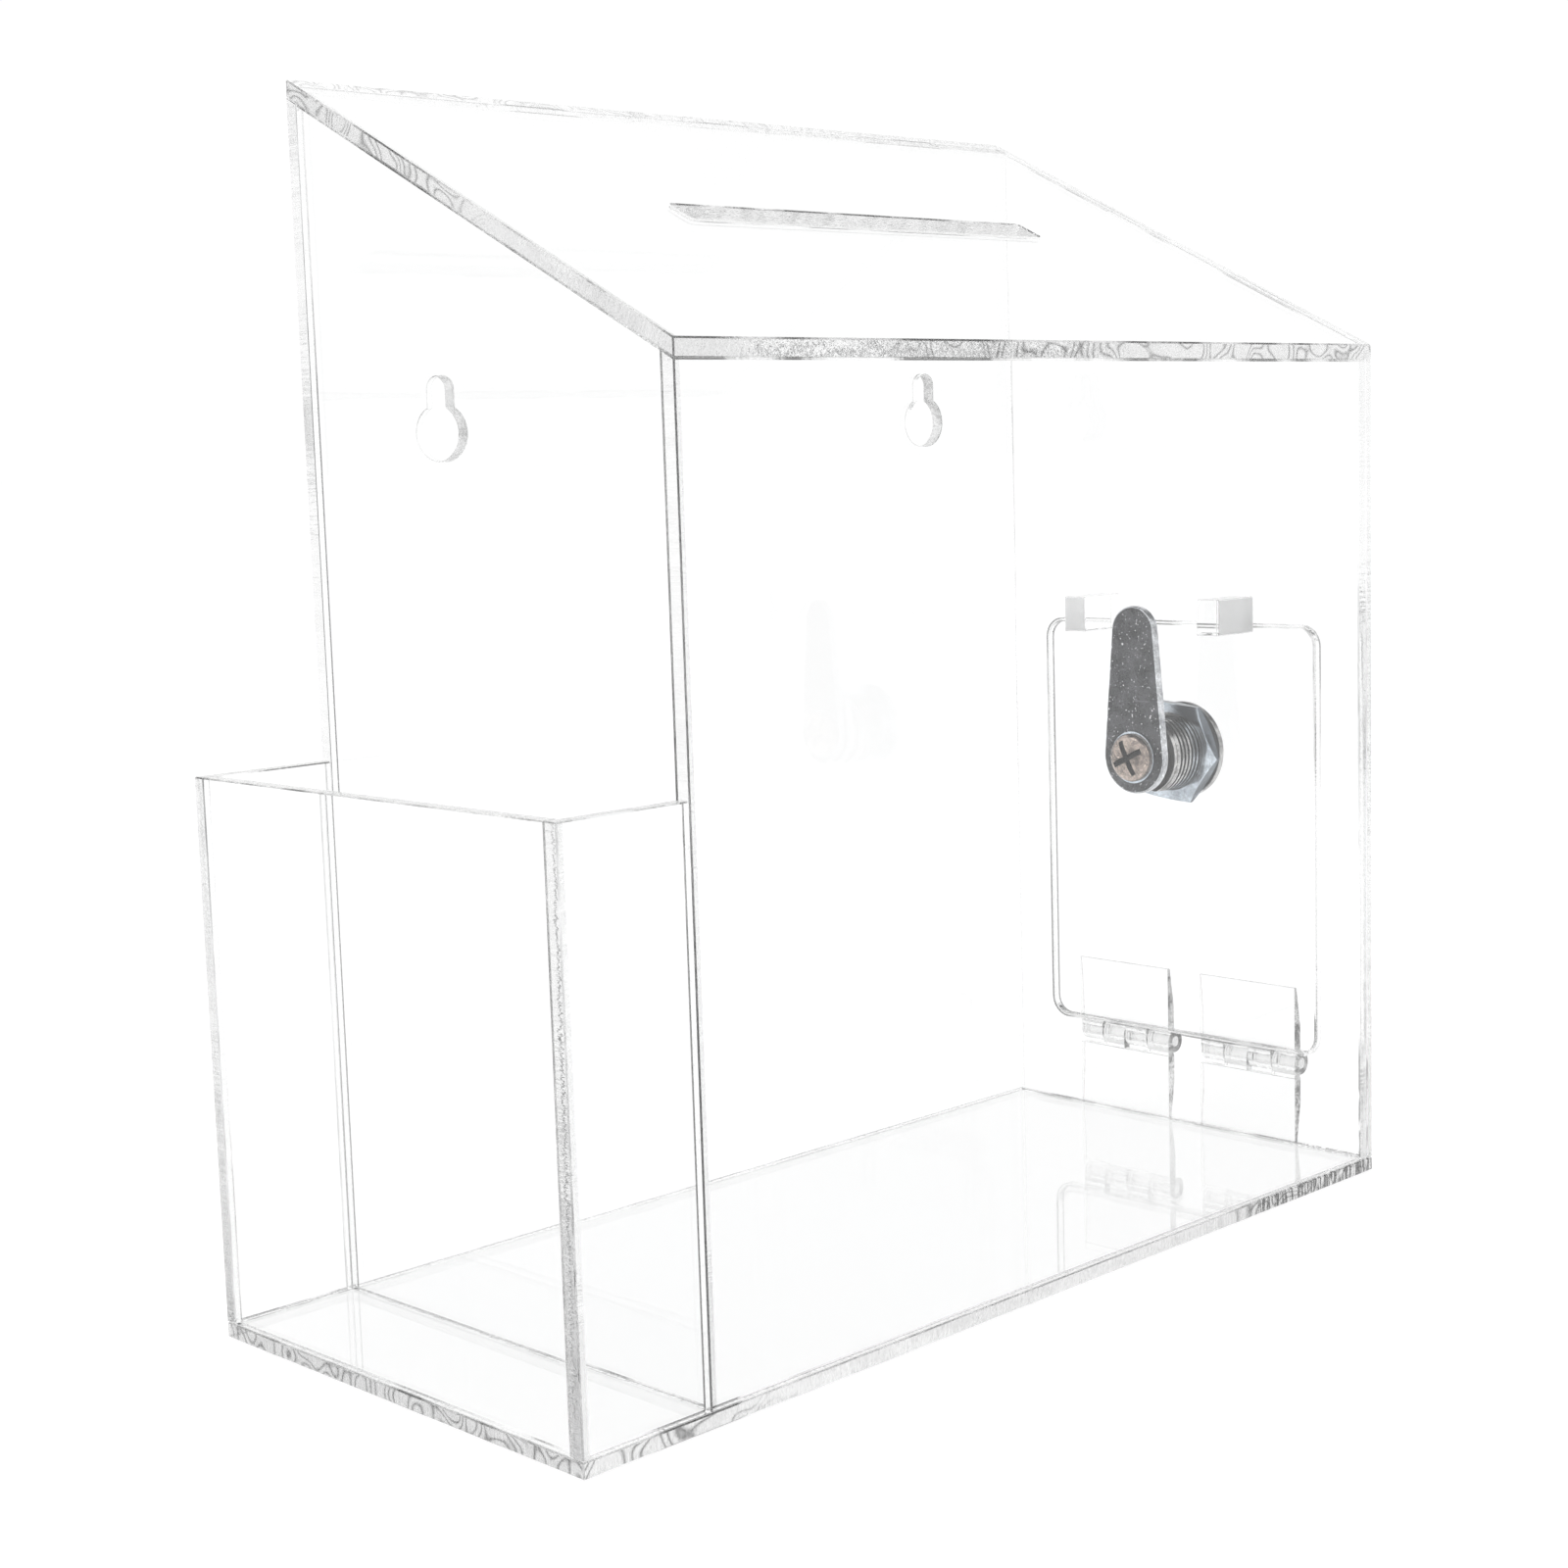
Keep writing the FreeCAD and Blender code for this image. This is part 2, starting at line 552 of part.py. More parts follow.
def build_housing():
    """The head and threaded barrel in one casting, bored for the plug and grooved for the wafers."""
    barrel = rod("housing_barrel", BARREL_RADIUS, "-barrel_length", "0")
    rim = rod("housing_rim", HEAD_RADIUS, "0", "head_rim")
    bevel = doc.addObject("Part::Cone", "housing_bevel")
    bind(bevel, "Radius1", HEAD_RADIUS)
    bind(bevel, "Radius2", f"{HEAD_RADIUS} - head_height + head_rim")
    bind(bevel, "Height", "head_height - head_rim")
    move(bevel, "head_rim", turn=ALONG_X)
    ring_high = "(-barrel_length)"
    ring_low = f"({ring_high} - stop_plate)"
    free_angle = "(turn_angle + tooth_angle + 2 * tooth_slack)"
    start = value("180 - turn_angle - tooth_angle / 2 - tooth_slack")
    sector = rod("housing_stop", f"{BARREL_RADIUS} - ring_step", ring_low, ring_high, f"360 - {free_angle}",
                 start - value(f"360 - {free_angle}"))
    ring_hole = rod("housing_stop_hole", PLUG_HEAD_RADIUS, ring_low, ring_high)
    tools = [
        rod("housing_bore", "bore_radius", f"{ring_low} - 1", "head_height + 1"),
        rod("housing_recess", PLUG_HEAD_RADIUS, "head_height - plug_head_height", "head_height + 1"),
        box("housing_grooves", (f"-{KEYWAY_DEPTH} - wafer_play", "-wafer_first / 2"),
            (f"-{GROOVE_END}", GROOVE_END), (f"-{WAFER_ROOM}", WAFER_ROOM)),
    ]
    for name, side in (("upper", 1), ("lower", -1)):
        flat = (BARREL_FLAT, BARREL_RADIUS) if side > 0 else (f"-{BARREL_RADIUS}", f"-{BARREL_FLAT}")
        tools.append(box(f"housing_{name}_flat", ("-barrel_length - stop_plate", "0"),
                         (f"-{BARREL_RADIUS}", BARREL_RADIUS), flat))
    solid = fuse("housing_solid", barrel, rim, bevel, cut("housing_stop_ring", sector, ring_hole))
    into_door(cut("housing", solid, *tools), "lock_housing")


def build_nut():
    prism = doc.addObject("Part::Prism", "nut_prism")
    prism.Polygon = 6
    bind(prism, "Circumradius", f"({BARREL_RADIUS} + nut_wall) / cos(30)")
    bind(prism, "Height", "nut_height")
    move(prism, "-sheet - nut_height", turn=ALONG_X * FreeCAD.Rotation(vec(0, 0, 1), -value("nut_turn")))
    thread = rod("nut_thread", BARREL_RADIUS, "-sheet - nut_height - 1", "-sheet + 1")
    into_door(cut("nut", prism, thread), "lock_nut")


def wafer_place(number):
    """Middle of a wafer along the plug, as an expression."""
    return f"(-wafer_first - {number} * wafer_pitch)"


def build_plug():
    """The plug that the key turns, with its keyway, wafer slots and square shank."""
    radius = "(bore_radius - plug_play)"
    rear = "(-barrel_length - plug_play)"
    seat = "(head_height - plug_head_height + plug_play)"
    shank_end = f"({CAM_FAR} + shank_short)"
    core = rod("plug_core", radius, rear, seat)
    head = rod("plug_head", f"{PLUG_HEAD_RADIUS} - wafer_play", seat, "head_height - plug_inset")
    side = (f"-{SHANK_HALF}", SHANK_HALF)
    shank = box("plug_shank", (shank_end, rear), side, side)
    tools = [
        box("plug_keyway", (f"-{KEYWAY_DEPTH}", "head_height"), *KEYWAY),
        rod("plug_screw_hole", "screw_radius", f"{shank_end} - 1", f"{SCREW_END} + plug_play"),
    ]
    for number in range(WAFER_COUNT):
        room = "(wafer_thickness / 2 + wafer_play)"
        along = (f"{wafer_place(number)} - {room}", f"{wafer_place(number)} + {room}")
        tools.append(box(f"plug_slot_{number}", along, ("-bore_radius", "bore_radius"),
                         (f"-{WAFER_ROOM}", WAFER_ROOM)))
        tools.append(box(f"plug_spring_room_{number}", along, (SPRING_LOW, LUG_ROOM),
                         ("0", f"{WAFER_ROOM} + lug_reach")))
    into_door(cut("plug", fuse("plug_solid", core, head, shank), *tools), "lock_plug")


def build_wafers():
    """The wafers, flush with the plug as the key holds them, each with a window and a spring lug."""
    plates = []
    for number in range(WAFER_COUNT):
        middle = wafer_place(number)
        along = (f"{middle} - wafer_thickness / 2", f"{middle} + wafer_thickness / 2")
        plate = box(f"wafer_plate_{number}", along, (f"-{WAFER_END}", WAFER_END),
                    ("-wafer_half_height", "wafer_half_height"))
        lug = box(f"wafer_lug_{number}", along, (LUG_LOW, "lug_lead"),
                  ("0", "wafer_half_height + lug_reach - wafer_play"))
        window = box(f"wafer_window_{number}", along, *KEYWAY)
        plates.append(cut(f"wafer_{number}", fuse(f"wafer_solid_{number}", plate, lug), window))
    group = doc.addObject("Part::Compound", "wafers")
    group.Links = plates
    into_door(group, "lock_wafers")


def build_springs():
    """One small coil spring beside each wafer, along Y; these read the sheet in code."""
    wire, mean, length = (value(e) for e in ("spring_wire", "spring_radius", "spring_length"))
    coil = Part.makeHelix(length / SPRING_TURNS, length, mean)
    ring = Part.Wire(Part.makeCircle(wire, vec(mean, 0, 0), vec(0, 1, 0)))
    spring = Part.Wire(coil).makePipeShell([ring], True, True)
    height = value(f"{WAFER_ROOM} + lug_reach / 2")
    copies = []
    for number in range(WAFER_COUNT):
        copy = spring.copy()
        place = vec(value(wafer_place(number)), value(SPRING_LOW) + wire, height)
        copy.Placement = FreeCAD.Placement(place, ALONG_Y)
        copies.append(copy)
    group = doc.addObject("Part::Feature", "springs")
    group.Shape = Part.makeCompound(copies)
    into_door(group, "wafer_springs")


def build_cam():
    """Stop washer, cam, washer and screw on the plug's square shank."""
    washer_low = f"(-{CAM_FACE})"
    washer_high = f"({washer_low} + stop_plate - plug_play)"
    ends = (washer_low, washer_high)
    disc = rod("stop_disc", f"{PLUG_HEAD_RADIUS} - tooth_play", *ends)
    tooth_radius = f"{BARREL_RADIUS} - ring_step - tooth_play"
    tooth = rod("stop_tooth", tooth_radius, *ends, "tooth_angle", value("180 - tooth_angle / 2"))
    into_door(cut("stop_plate_cut", fuse("stop_plate_solid", disc, tooth),
                  square_hole("stop_plate_hole", *ends)), "stop_washer")

    body = new_body("cam_plate")
    sketch = new_sketch(body, "YZ_Plane", "outline")
    hub, tip, reach = (value(e) for e in ("cam_hub", "cam_tip", "cam_reach"))
    lean = math.asin((hub - tip) / reach)
    hub_arc = arc(sketch, 0, 0, hub, math.pi - lean, 2 * math.pi + lean)
    tip_arc = arc(sketch, 0, reach, tip, lean, math.pi - lean)
    sides = []
    for side in (1, -1):
        low = vec(side * hub * math.cos(lean), hub * math.sin(lean), 0)
        high = vec(side * tip * math.cos(lean), reach + tip * math.sin(lean), 0)
        sides.append(sketch.addGeometry(Part.LineSegment(low, high), False))
    join(sketch, "Tangent", (hub_arc, 2, sides[0], 1), (sides[0], 2, tip_arc, 1), (tip_arc, 2, sides[1], 2),
         (sides[1], 1, hub_arc, 1))
    tie_radius(sketch, hub_arc, "cam_hub")
    tie_radius(sketch, tip_arc, "cam_tip")
    for arc_number, place in ((hub_arc, "0"), (tip_arc, "cam_reach")):
        tie(sketch, "DistanceX", arc_number, 3, "0")
        tie(sketch, "DistanceY", arc_number, 3, place)
    pad(body, sketch, "cam_thickness")
    hole = new_sketch(body, "YZ_Plane", "hole")
    signs = (("-", "-"), ("", "-"), ("", ""), ("-", ""))
    polygon(hole, [(f"{a}{HOLE_HALF}", f"{b}{HOLE_HALF}") for a, b in signs])
    cut_through(body, hole, reverse=True)
    move(body, f"{RIGHT} + {CAM_FAR}", z=LOCK_HEIGHT)
    subpart(body, "cam")

    washer_far = f"({CAM_FAR} - washer_height)"
    washer = cut("cam_washer_cut", rod("cam_washer_disc", "washer_radius", washer_far, CAM_FAR),
                 rod("cam_washer_hole", "screw_radius + washer_play", washer_far, CAM_FAR))
    into_door(washer, "cam_washer")

    head_far = f"({washer_far} - screw_head_height)"
    head = rod("screw_head", "screw_head_radius", head_far, washer_far)
    doc.recompute()
    dome = doc.addObject("Part::Fillet", "screw_domed_head")
    dome.Base = head
    outer = value(head_far)
    radius = value("screw_dome")
    dome.Edges = [(number, radius, radius) for number, edge in enumerate(head.Shape.Edges, start=1)
                  if abs(edge.BoundBox.XMax - outer) < 1e-6]
    shank = rod("screw_shank", "screw_radius", washer_far, f"{washer_far} + screw_length")
    arm = ("-recess_length / 2", "recess_length / 2")
    slim = ("-recess_width / 2", "recess_width / 2")
    deep = (head_far, f"{head_far} + recess_depth")
    cross = [box("screw_recess_up", deep, slim, arm), box("screw_recess_across", deep, arm, slim)]
    into_door(cut("screw_cut", fuse("screw_solid", dome, shank), *cross), "cam_screw")


build_shell()
build_roof()
build_stops()
build_door()
build_hinges()
build_housing()
build_nut()
build_plug()
build_wafers()
build_springs()
build_cam()
doc.recompute()

# ---------------------------------------------------------------- checks and output

for thing in doc.Objects:
    if "Invalid" in thing.State or "Error" in thing.State:
        raise RuntimeError(f"{thing.Name} failed: {thing.State}")
for thing in subparts:
    if thing.Shape.isNull() or not thing.Shape.isValid():
        raise RuntimeError(f"{thing.Label} has no valid shape")

os.makedirs("parts", exist_ok=True)
for thing in subparts:
    thing.Shape.exportStep(os.path.join("parts", f"{thing.Label}.step"))
    solids = len(thing.Shape.Solids)
    print(f"{thing.Label}: {solids} solid(s), {thing.Shape.Volume:.1f} mm3")
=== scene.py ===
"""Looks of a clear acrylic donation box: sloping slotted roof, leaflet pocket, locking door.

Everything is in metres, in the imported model's own frame: +X towards the door, +Y towards the
wall with the keyholes, +Z up.
"""

import json
import logging
import math
from dataclasses import dataclass
from enum import Enum, IntEnum
from typing import Sequence

import bmesh
import bpy
from bmesh.types import BMEdge, BMesh, BMVert
from bpy.types import Material, Object
from mathutils import Matrix, Vector


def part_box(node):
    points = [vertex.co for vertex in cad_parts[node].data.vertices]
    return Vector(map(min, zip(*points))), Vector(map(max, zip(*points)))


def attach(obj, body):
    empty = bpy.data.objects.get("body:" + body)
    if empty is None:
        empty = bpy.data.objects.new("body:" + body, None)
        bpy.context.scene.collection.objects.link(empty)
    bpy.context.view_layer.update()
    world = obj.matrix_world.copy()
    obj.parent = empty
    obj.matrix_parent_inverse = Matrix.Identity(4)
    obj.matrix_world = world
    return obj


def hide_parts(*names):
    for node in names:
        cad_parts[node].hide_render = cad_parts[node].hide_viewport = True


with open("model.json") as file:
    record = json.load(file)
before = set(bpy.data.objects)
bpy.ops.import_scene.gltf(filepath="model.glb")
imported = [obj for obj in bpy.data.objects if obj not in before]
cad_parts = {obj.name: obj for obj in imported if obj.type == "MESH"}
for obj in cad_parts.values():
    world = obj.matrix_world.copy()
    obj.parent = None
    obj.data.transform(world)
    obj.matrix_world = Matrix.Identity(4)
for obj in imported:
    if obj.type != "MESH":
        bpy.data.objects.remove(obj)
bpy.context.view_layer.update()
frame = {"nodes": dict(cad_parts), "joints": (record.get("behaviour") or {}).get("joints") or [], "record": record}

LOG = logging.getLogger("donation_box")
MM = 0.001
FRONT = -51.5 * MM
MERGE = 1e-7
ACRYLIC_IOR = 1.49
# Cosines of a face's normal with a direction: along it, mostly, hardly.
ALIGNED, MOSTLY, HARDLY = 0.99, 0.9, 0.2
Point = tuple[float, float]
Triple = Sequence[float]
Stops = Sequence[Point]


class Facing(Enum):
    """Which way a sheet faces: where its drawing's x and y and its thickness point."""

    ACROSS = ((0, 1, 0), (0, 0, 1), (1, 0, 0))
    ALONG = ((1, 0, 0), (0, 0, 1), (0, -1, 0))
    FLAT = ((1, 0, 0), (0, 1, 0), (0, 0, 1))

    def matrix(self, origin: Triple, tilt: float = 0.0) -> Matrix:
        """Where a drawing goes.

        Args:
            origin: point of the row frame where the drawing's own origin lies.
            tilt: turn about X after that, in radians.

        Returns:
            The matrix from the drawing to the row frame.
        """
        turn = Matrix([Vector(axis) for axis in self.value]).transposed().to_4x4()
        return Matrix.Translation(Vector(origin)) @ Matrix.Rotation(tilt, 4, "X") @ turn

    def spread(self) -> list[int]:
        """Numbers of the row frame's axes that the drawing's x and y lie along."""
        return [axis.index(1) for axis in self.value[:2]]


# ---- shader kit


class Wire:
    """A node's output, on which Python's operators add Math nodes."""

    def __init__(self, shader: "Shader", socket: bpy.types.NodeSocket) -> None:
        """Wraps one output socket of a shader."""
        self.shader, self.socket = shader, socket

    def _math(self, operation: str, *terms: "Wire | float") -> "Wire":
        """Adds one Math node on the terms."""
        return self.shader.add("ShaderNodeMath", dict(enumerate(terms)), operation=operation)

    def __add__(self, other: "Wire | float") -> "Wire":
        """self + other."""
        return self._math("ADD", self, other)

    def __rsub__(self, other: float) -> "Wire":
        """other - self."""
        return self._math("SUBTRACT", other, self)

    def __mul__(self, other: "Wire | float") -> "Wire":
        """self * other."""
        return self._math("MULTIPLY", self, other)

    __radd__ = __add__
    __rmul__ = __mul__


class Shader:
    """The node tree of one material or of the world; every node comes from add()."""

    def __init__(self, owner: "Material | bpy.types.World") -> None:
        """Takes over the owner's node tree, emptied."""
        owner.use_nodes = True
        self.owner, self.tree = owner, owner.node_tree
        self.tree.nodes.clear()

    @classmethod
    def paint(cls, name: str) -> "Shader":
        """The shader of a new material."""
        return cls(bpy.data.materials.new(name))

    def add(self, kind: str, inputs: "dict[int | str, object]", out: "int | str" = 0,
            stops: Stops = (), **settings: object) -> Wire:
        """Adds a node.

        Args:
            kind: the node's type.
            inputs: a value or a Wire for each input socket, by number or name.
            out: which output comes back.
            stops: places and grey levels of a colour ramp.
            **settings: properties of the node, set before its sockets.

        Returns:
            The wrapped output.
        """
        node = self.tree.nodes.new(kind)
        for name, setting in settings.items():
            setattr(node, name, setting)
        for number, (place, grey) in enumerate(stops):
            band = node.color_ramp.elements
            stop = band[number] if number < len(band) else band.new(place)
            stop.position, stop.color = place, (grey, grey, grey, 1)
        for name, term in inputs.items():
            if isinstance(term, Wire):
                self.tree.links.new(term.socket, node.inputs[name])
            else:
                node.inputs[name].default_value = term
        return Wire(self, node.outputs[out] if len(node.outputs) else None)

    def here(self) -> Wire:
        """The point being shaded, in Object coordinates."""
        return self.add("ShaderNodeTexCoord", {}, out="Object")

    def distance(self, centre: Triple, reach: float) -> Wire:
        """Distance from a point, 0.5 at its reach."""
        return self.add("ShaderNodeVectorMath", {0: self.here(), 1: tuple(centre)}, out="Value",
                        operation="DISTANCE") * (0.5 / reach)

    def noise(self, period: "float | Triple", detail: float = 2.0, rough: float = 0.5,
              turn: float = 0.0) -> Wire:
        """Noise from 0 to 1.

        Args:
            period: length of one unit in metres, for all axes or for each.
            detail: how many finer layers it has.
            rough: how strong the finer layers are.
            turn: turn of the pattern about X, in radians.

        Returns:
            The number.
        """
        scale = (period,) * 3 if isinstance(period, float) else tuple(period)
        spot = self.add("ShaderNodeMapping", {"Vector": self.here(), "Rotation": (turn, 0, 0),
                                              "Scale": scale}, vector_type="TEXTURE")
        return self.add("ShaderNodeTexNoise", {"Vector": spot, "Scale": 1.0, "Detail": detail,
                                               "Roughness": rough})

    def ramp(self, factor: Wire, *stops: Point) -> Wire:
        """A number run through a ramp of grey levels."""
        return self.add("ShaderNodeValToRGB", {0: factor}, stops=stops)

    def tint(self, factor: Wire, low: "Wire | Triple", high: Triple) -> Wire:
        """The colour between low and high."""
        start = low if isinstance(low, Wire) else (*low, 1)
        return self.add("ShaderNodeMix", {0: factor, 6: start, 7: (*high, 1)}, out=2,
                        data_type="RGBA")

    def bump(self, height: Wire, depth: float) -> Wire:
        """A normal from a height, with its depth in metres."""
        return self.add("ShaderNodeBump", {"Height": height, "Distance": depth, "Strength": 1.0})

    def surface(self, **sockets: "Wire | float | Triple") -> Material:
        """Ends a material in a Principled BSDF; sockets are named with _ for each space."""
        body = self.add("ShaderNodeBsdfPrincipled",
                        {name.replace("_", " "): value for name, value in sockets.items()})
        self.add("ShaderNodeOutputMaterial", {0: body})
        return self.owner


def grey(level: float) -> Triple:
    """A colour with no hue."""
    return level, level, level


# ---- finishes


@dataclass(frozen=True)
class ClearSheet:
    """Face of clear cast sheet, with the faint unevenness and hairlines of handled acrylic."""

    name: str = "acrylic_face"
    hairlines: Triple = (0.09, 0.004, 0.05)
    dulled: Stops = ((0.62, 0.0), (0.75, 0.03))
    waves: float = 45 * MM
    relief: float = 0.01 * MM
    low: Triple = (0.988, 0.991, 0.991)
    high: Triple = (0.999, 0.999, 0.999)

    def material(self) -> Material:
        """Makes the material."""
        shader = Shader.paint(self.name)
        hairline = shader.noise(self.hairlines, 6, 0.7)
        return shader.surface(
            Base_Color=shader.tint(hairline, self.low, self.high),
            Roughness=shader.ramp(hairline, *self.dulled), IOR=ACRYLIC_IOR, Transmission_Weight=1.0,
            Normal=shader.bump(shader.noise(self.waves, 0), self.relief))


@dataclass(frozen=True)
class CutEdge:
    """Laser-cut edge of the sheet, with striations right across it and broad ripples.

    The noise goes from dark to light in `band`, and `broad` is the share of ripples. `rings` adds
    oval marks; `clean` is the middle of a stretch without marks, and `burnt` of a dark hatch.
    The darker shades are partly painted reflection: besides the cut's own marks they stand in for
    the dark lines that the surroundings' refraction draws along a clear edge.
    """

    name: str
    across: Triple = (0, 0, 0)
    turn: float = 0.0
    shades: Point = (0.86, 1.0)
    band: Point = (0.36, 0.62)
    relief: float = 0.8 * MM
    broad: float = 0.55
    patch: float = 5.5 * MM
    fine: float = 0.6 * MM
    drawn_out: float = 9.0
    rings: float = 0.0
    pool: float = 6 * MM
    ring_stops: Stops = ((0.33, 1.0), (0.37, 0.0), (0.41, 1.0), (0.46, 1.0), (0.5, 0.0),
                         (0.54, 1.0), (0.58, 1.0), (0.62, 0.0), (0.66, 1.0))
    clean: Triple = (0, 0, 0)
    clean_reach: float = 0.0
    clean_fade: Stops = ((0.42, 0.0), (0.54, 1.0))
    clean_rest: float = 0.1
    burnt: Triple = (0.1, FRONT, 0.0)
    burnt_reach: float = 32 * MM
    burnt_fade: Stops = ((0.44, 0.97), (0.52, 0.0))
    hatch: Stops = ((0.47, 1.0), (0.55, 0.0))
    gloss: Point = (0.03, 0.06)
    fine_relief: float = 0.25

    def material(self) -> Material:
        """Makes the material."""
        shader = Shader.paint(self.name)
        stretch = [1 + self.drawn_out * share for share in self.across]
        fine = shader.noise([self.fine * s for s in stretch], turn=self.turn)
        slow = shader.noise([self.patch * s for s in stretch], 1, turn=self.turn)
        low, high = self.shades
        streak = shader.ramp(fine * (1 - self.broad) + slow * self.broad,
                             (self.band[0], 0.0), (self.band[1], 1.0))
        if self.rings:
            ring = shader.ramp(shader.noise(self.pool, 0, turn=self.turn), *self.ring_stops)
            streak = streak * (1 - self.rings) + ring * self.rings
        if self.clean_reach:
            marked = shader.ramp(shader.distance(self.clean, self.clean_reach), *self.clean_fade)
            streak = 1 - (1 - streak) * (self.clean_rest + marked * (1 - self.clean_rest))
        burnt = shader.ramp(shader.distance(self.burnt, self.burnt_reach), *self.burnt_fade)
        streak = streak * (1 - burnt * shader.ramp(fine, *self.hatch))
        return shader.surface(
            Base_Color=shader.tint(streak, grey(low), grey(high)),
            Roughness=self.gloss[0] + fine * self.gloss[1], IOR=ACRYLIC_IOR,
            Transmission_Weight=1.0,
            Normal=shader.bump(fine * self.fine_relief + slow, self.relief))


@dataclass(frozen=True)
class SawnFace:
    """Frosted end of a sawn acrylic block."""

    name: str = "acrylic_sawn"
    teeth: Triple = (0.0005, 0.0005, 0.003)
    low: Triple = (0.94, 0.95, 0.95)
    gloss: Point = (0.45, 0.2)
    clarity: float = 0.7
    relief: float = 0.1 * MM

    def material(self) -> Material:
        """Makes the material."""
        shader = Shader.paint(self.name)
        grain = shader.noise(self.teeth, 5, 0.6)
        return shader.surface(
            Base_Color=shader.tint(grain, self.low, grey(1.0)),
            Roughness=self.gloss[0] + grain * self.gloss[1], IOR=ACRYLIC_IOR,
            Transmission_Weight=self.clarity,
            Normal=shader.bump(grain, self.relief))


@dataclass(frozen=True)
class Moulding:
    """Clear moulded plastic, slightly uneven from its tool."""

    name: str
    shade: float
    flow: Triple = (0.005, 0.003, 0.006)
    ior: float = 1.5
    dullness: float = 0.05
    relief: float = 0.3 * MM

    def material(self) -> Material:
        """Makes the material."""
        shader = Shader.paint(self.name)
        flow = shader.noise(self.flow, 3)
        return shader.surface(
            Base_Color=shader.tint(flow, grey(self.shade), grey(0.99)),
            Roughness=flow * self.dullness, IOR=self.ior, Transmission_Weight=1.0,
            Normal=shader.bump(flow, self.relief))


@dataclass(frozen=True)
class Metal:
    """A metal with a grain, fine scratches, a clouded roughness and, if asked, bright chips."""

    name: str
    dark: Triple
    light: Triple
    rough: Point
    relief: float = 0.01 * MM
    specks: float = 0.0
    clouds: float = 4 * MM
    grain: float = 0.6 * MM
    scratches: Triple = (0.0002, 0.006, 0.0012)
    scratched: Stops = ((0.66, 0.0), (0.72, 1.0))
    shares: Triple = (0.6, 0.4, 0.2)
    shading: Stops = ((0.38, 0.0), (0.72, 1.0))
    chips: float = 0.5 * MM
    chipped: Triple = (0.9, 0.9, 0.92)

    def material(self) -> Material:
        """Makes the material."""
        shader = Shader.paint(self.name)
        cloud = shader.noise(self.clouds, 4)
        grain = shader.noise(self.grain, 4, 0.65)
        wear_and_highlight = shader.ramp(shader.noise(self.scratches), *self.scratched)
        low, high = self.rough
        clouds, grains, scratches = self.shares
        shade = shader.ramp(cloud * clouds + grain * grains + wear_and_highlight * scratches, *self.shading)
        colour = shader.tint(shade, self.dark, self.light)
        if self.specks:
            chips = shader.ramp(shader.noise(self.chips, 1), (0.69, 0.0), (0.72, self.specks))
            colour = shader.tint(chips, colour, self.chipped)
        return shader.surface(Base_Color=colour, Metallic=1.0, Roughness=low + cloud * (high - low),
                              Normal=shader.bump(grain + wear_and_highlight * 0.5, self.relief))


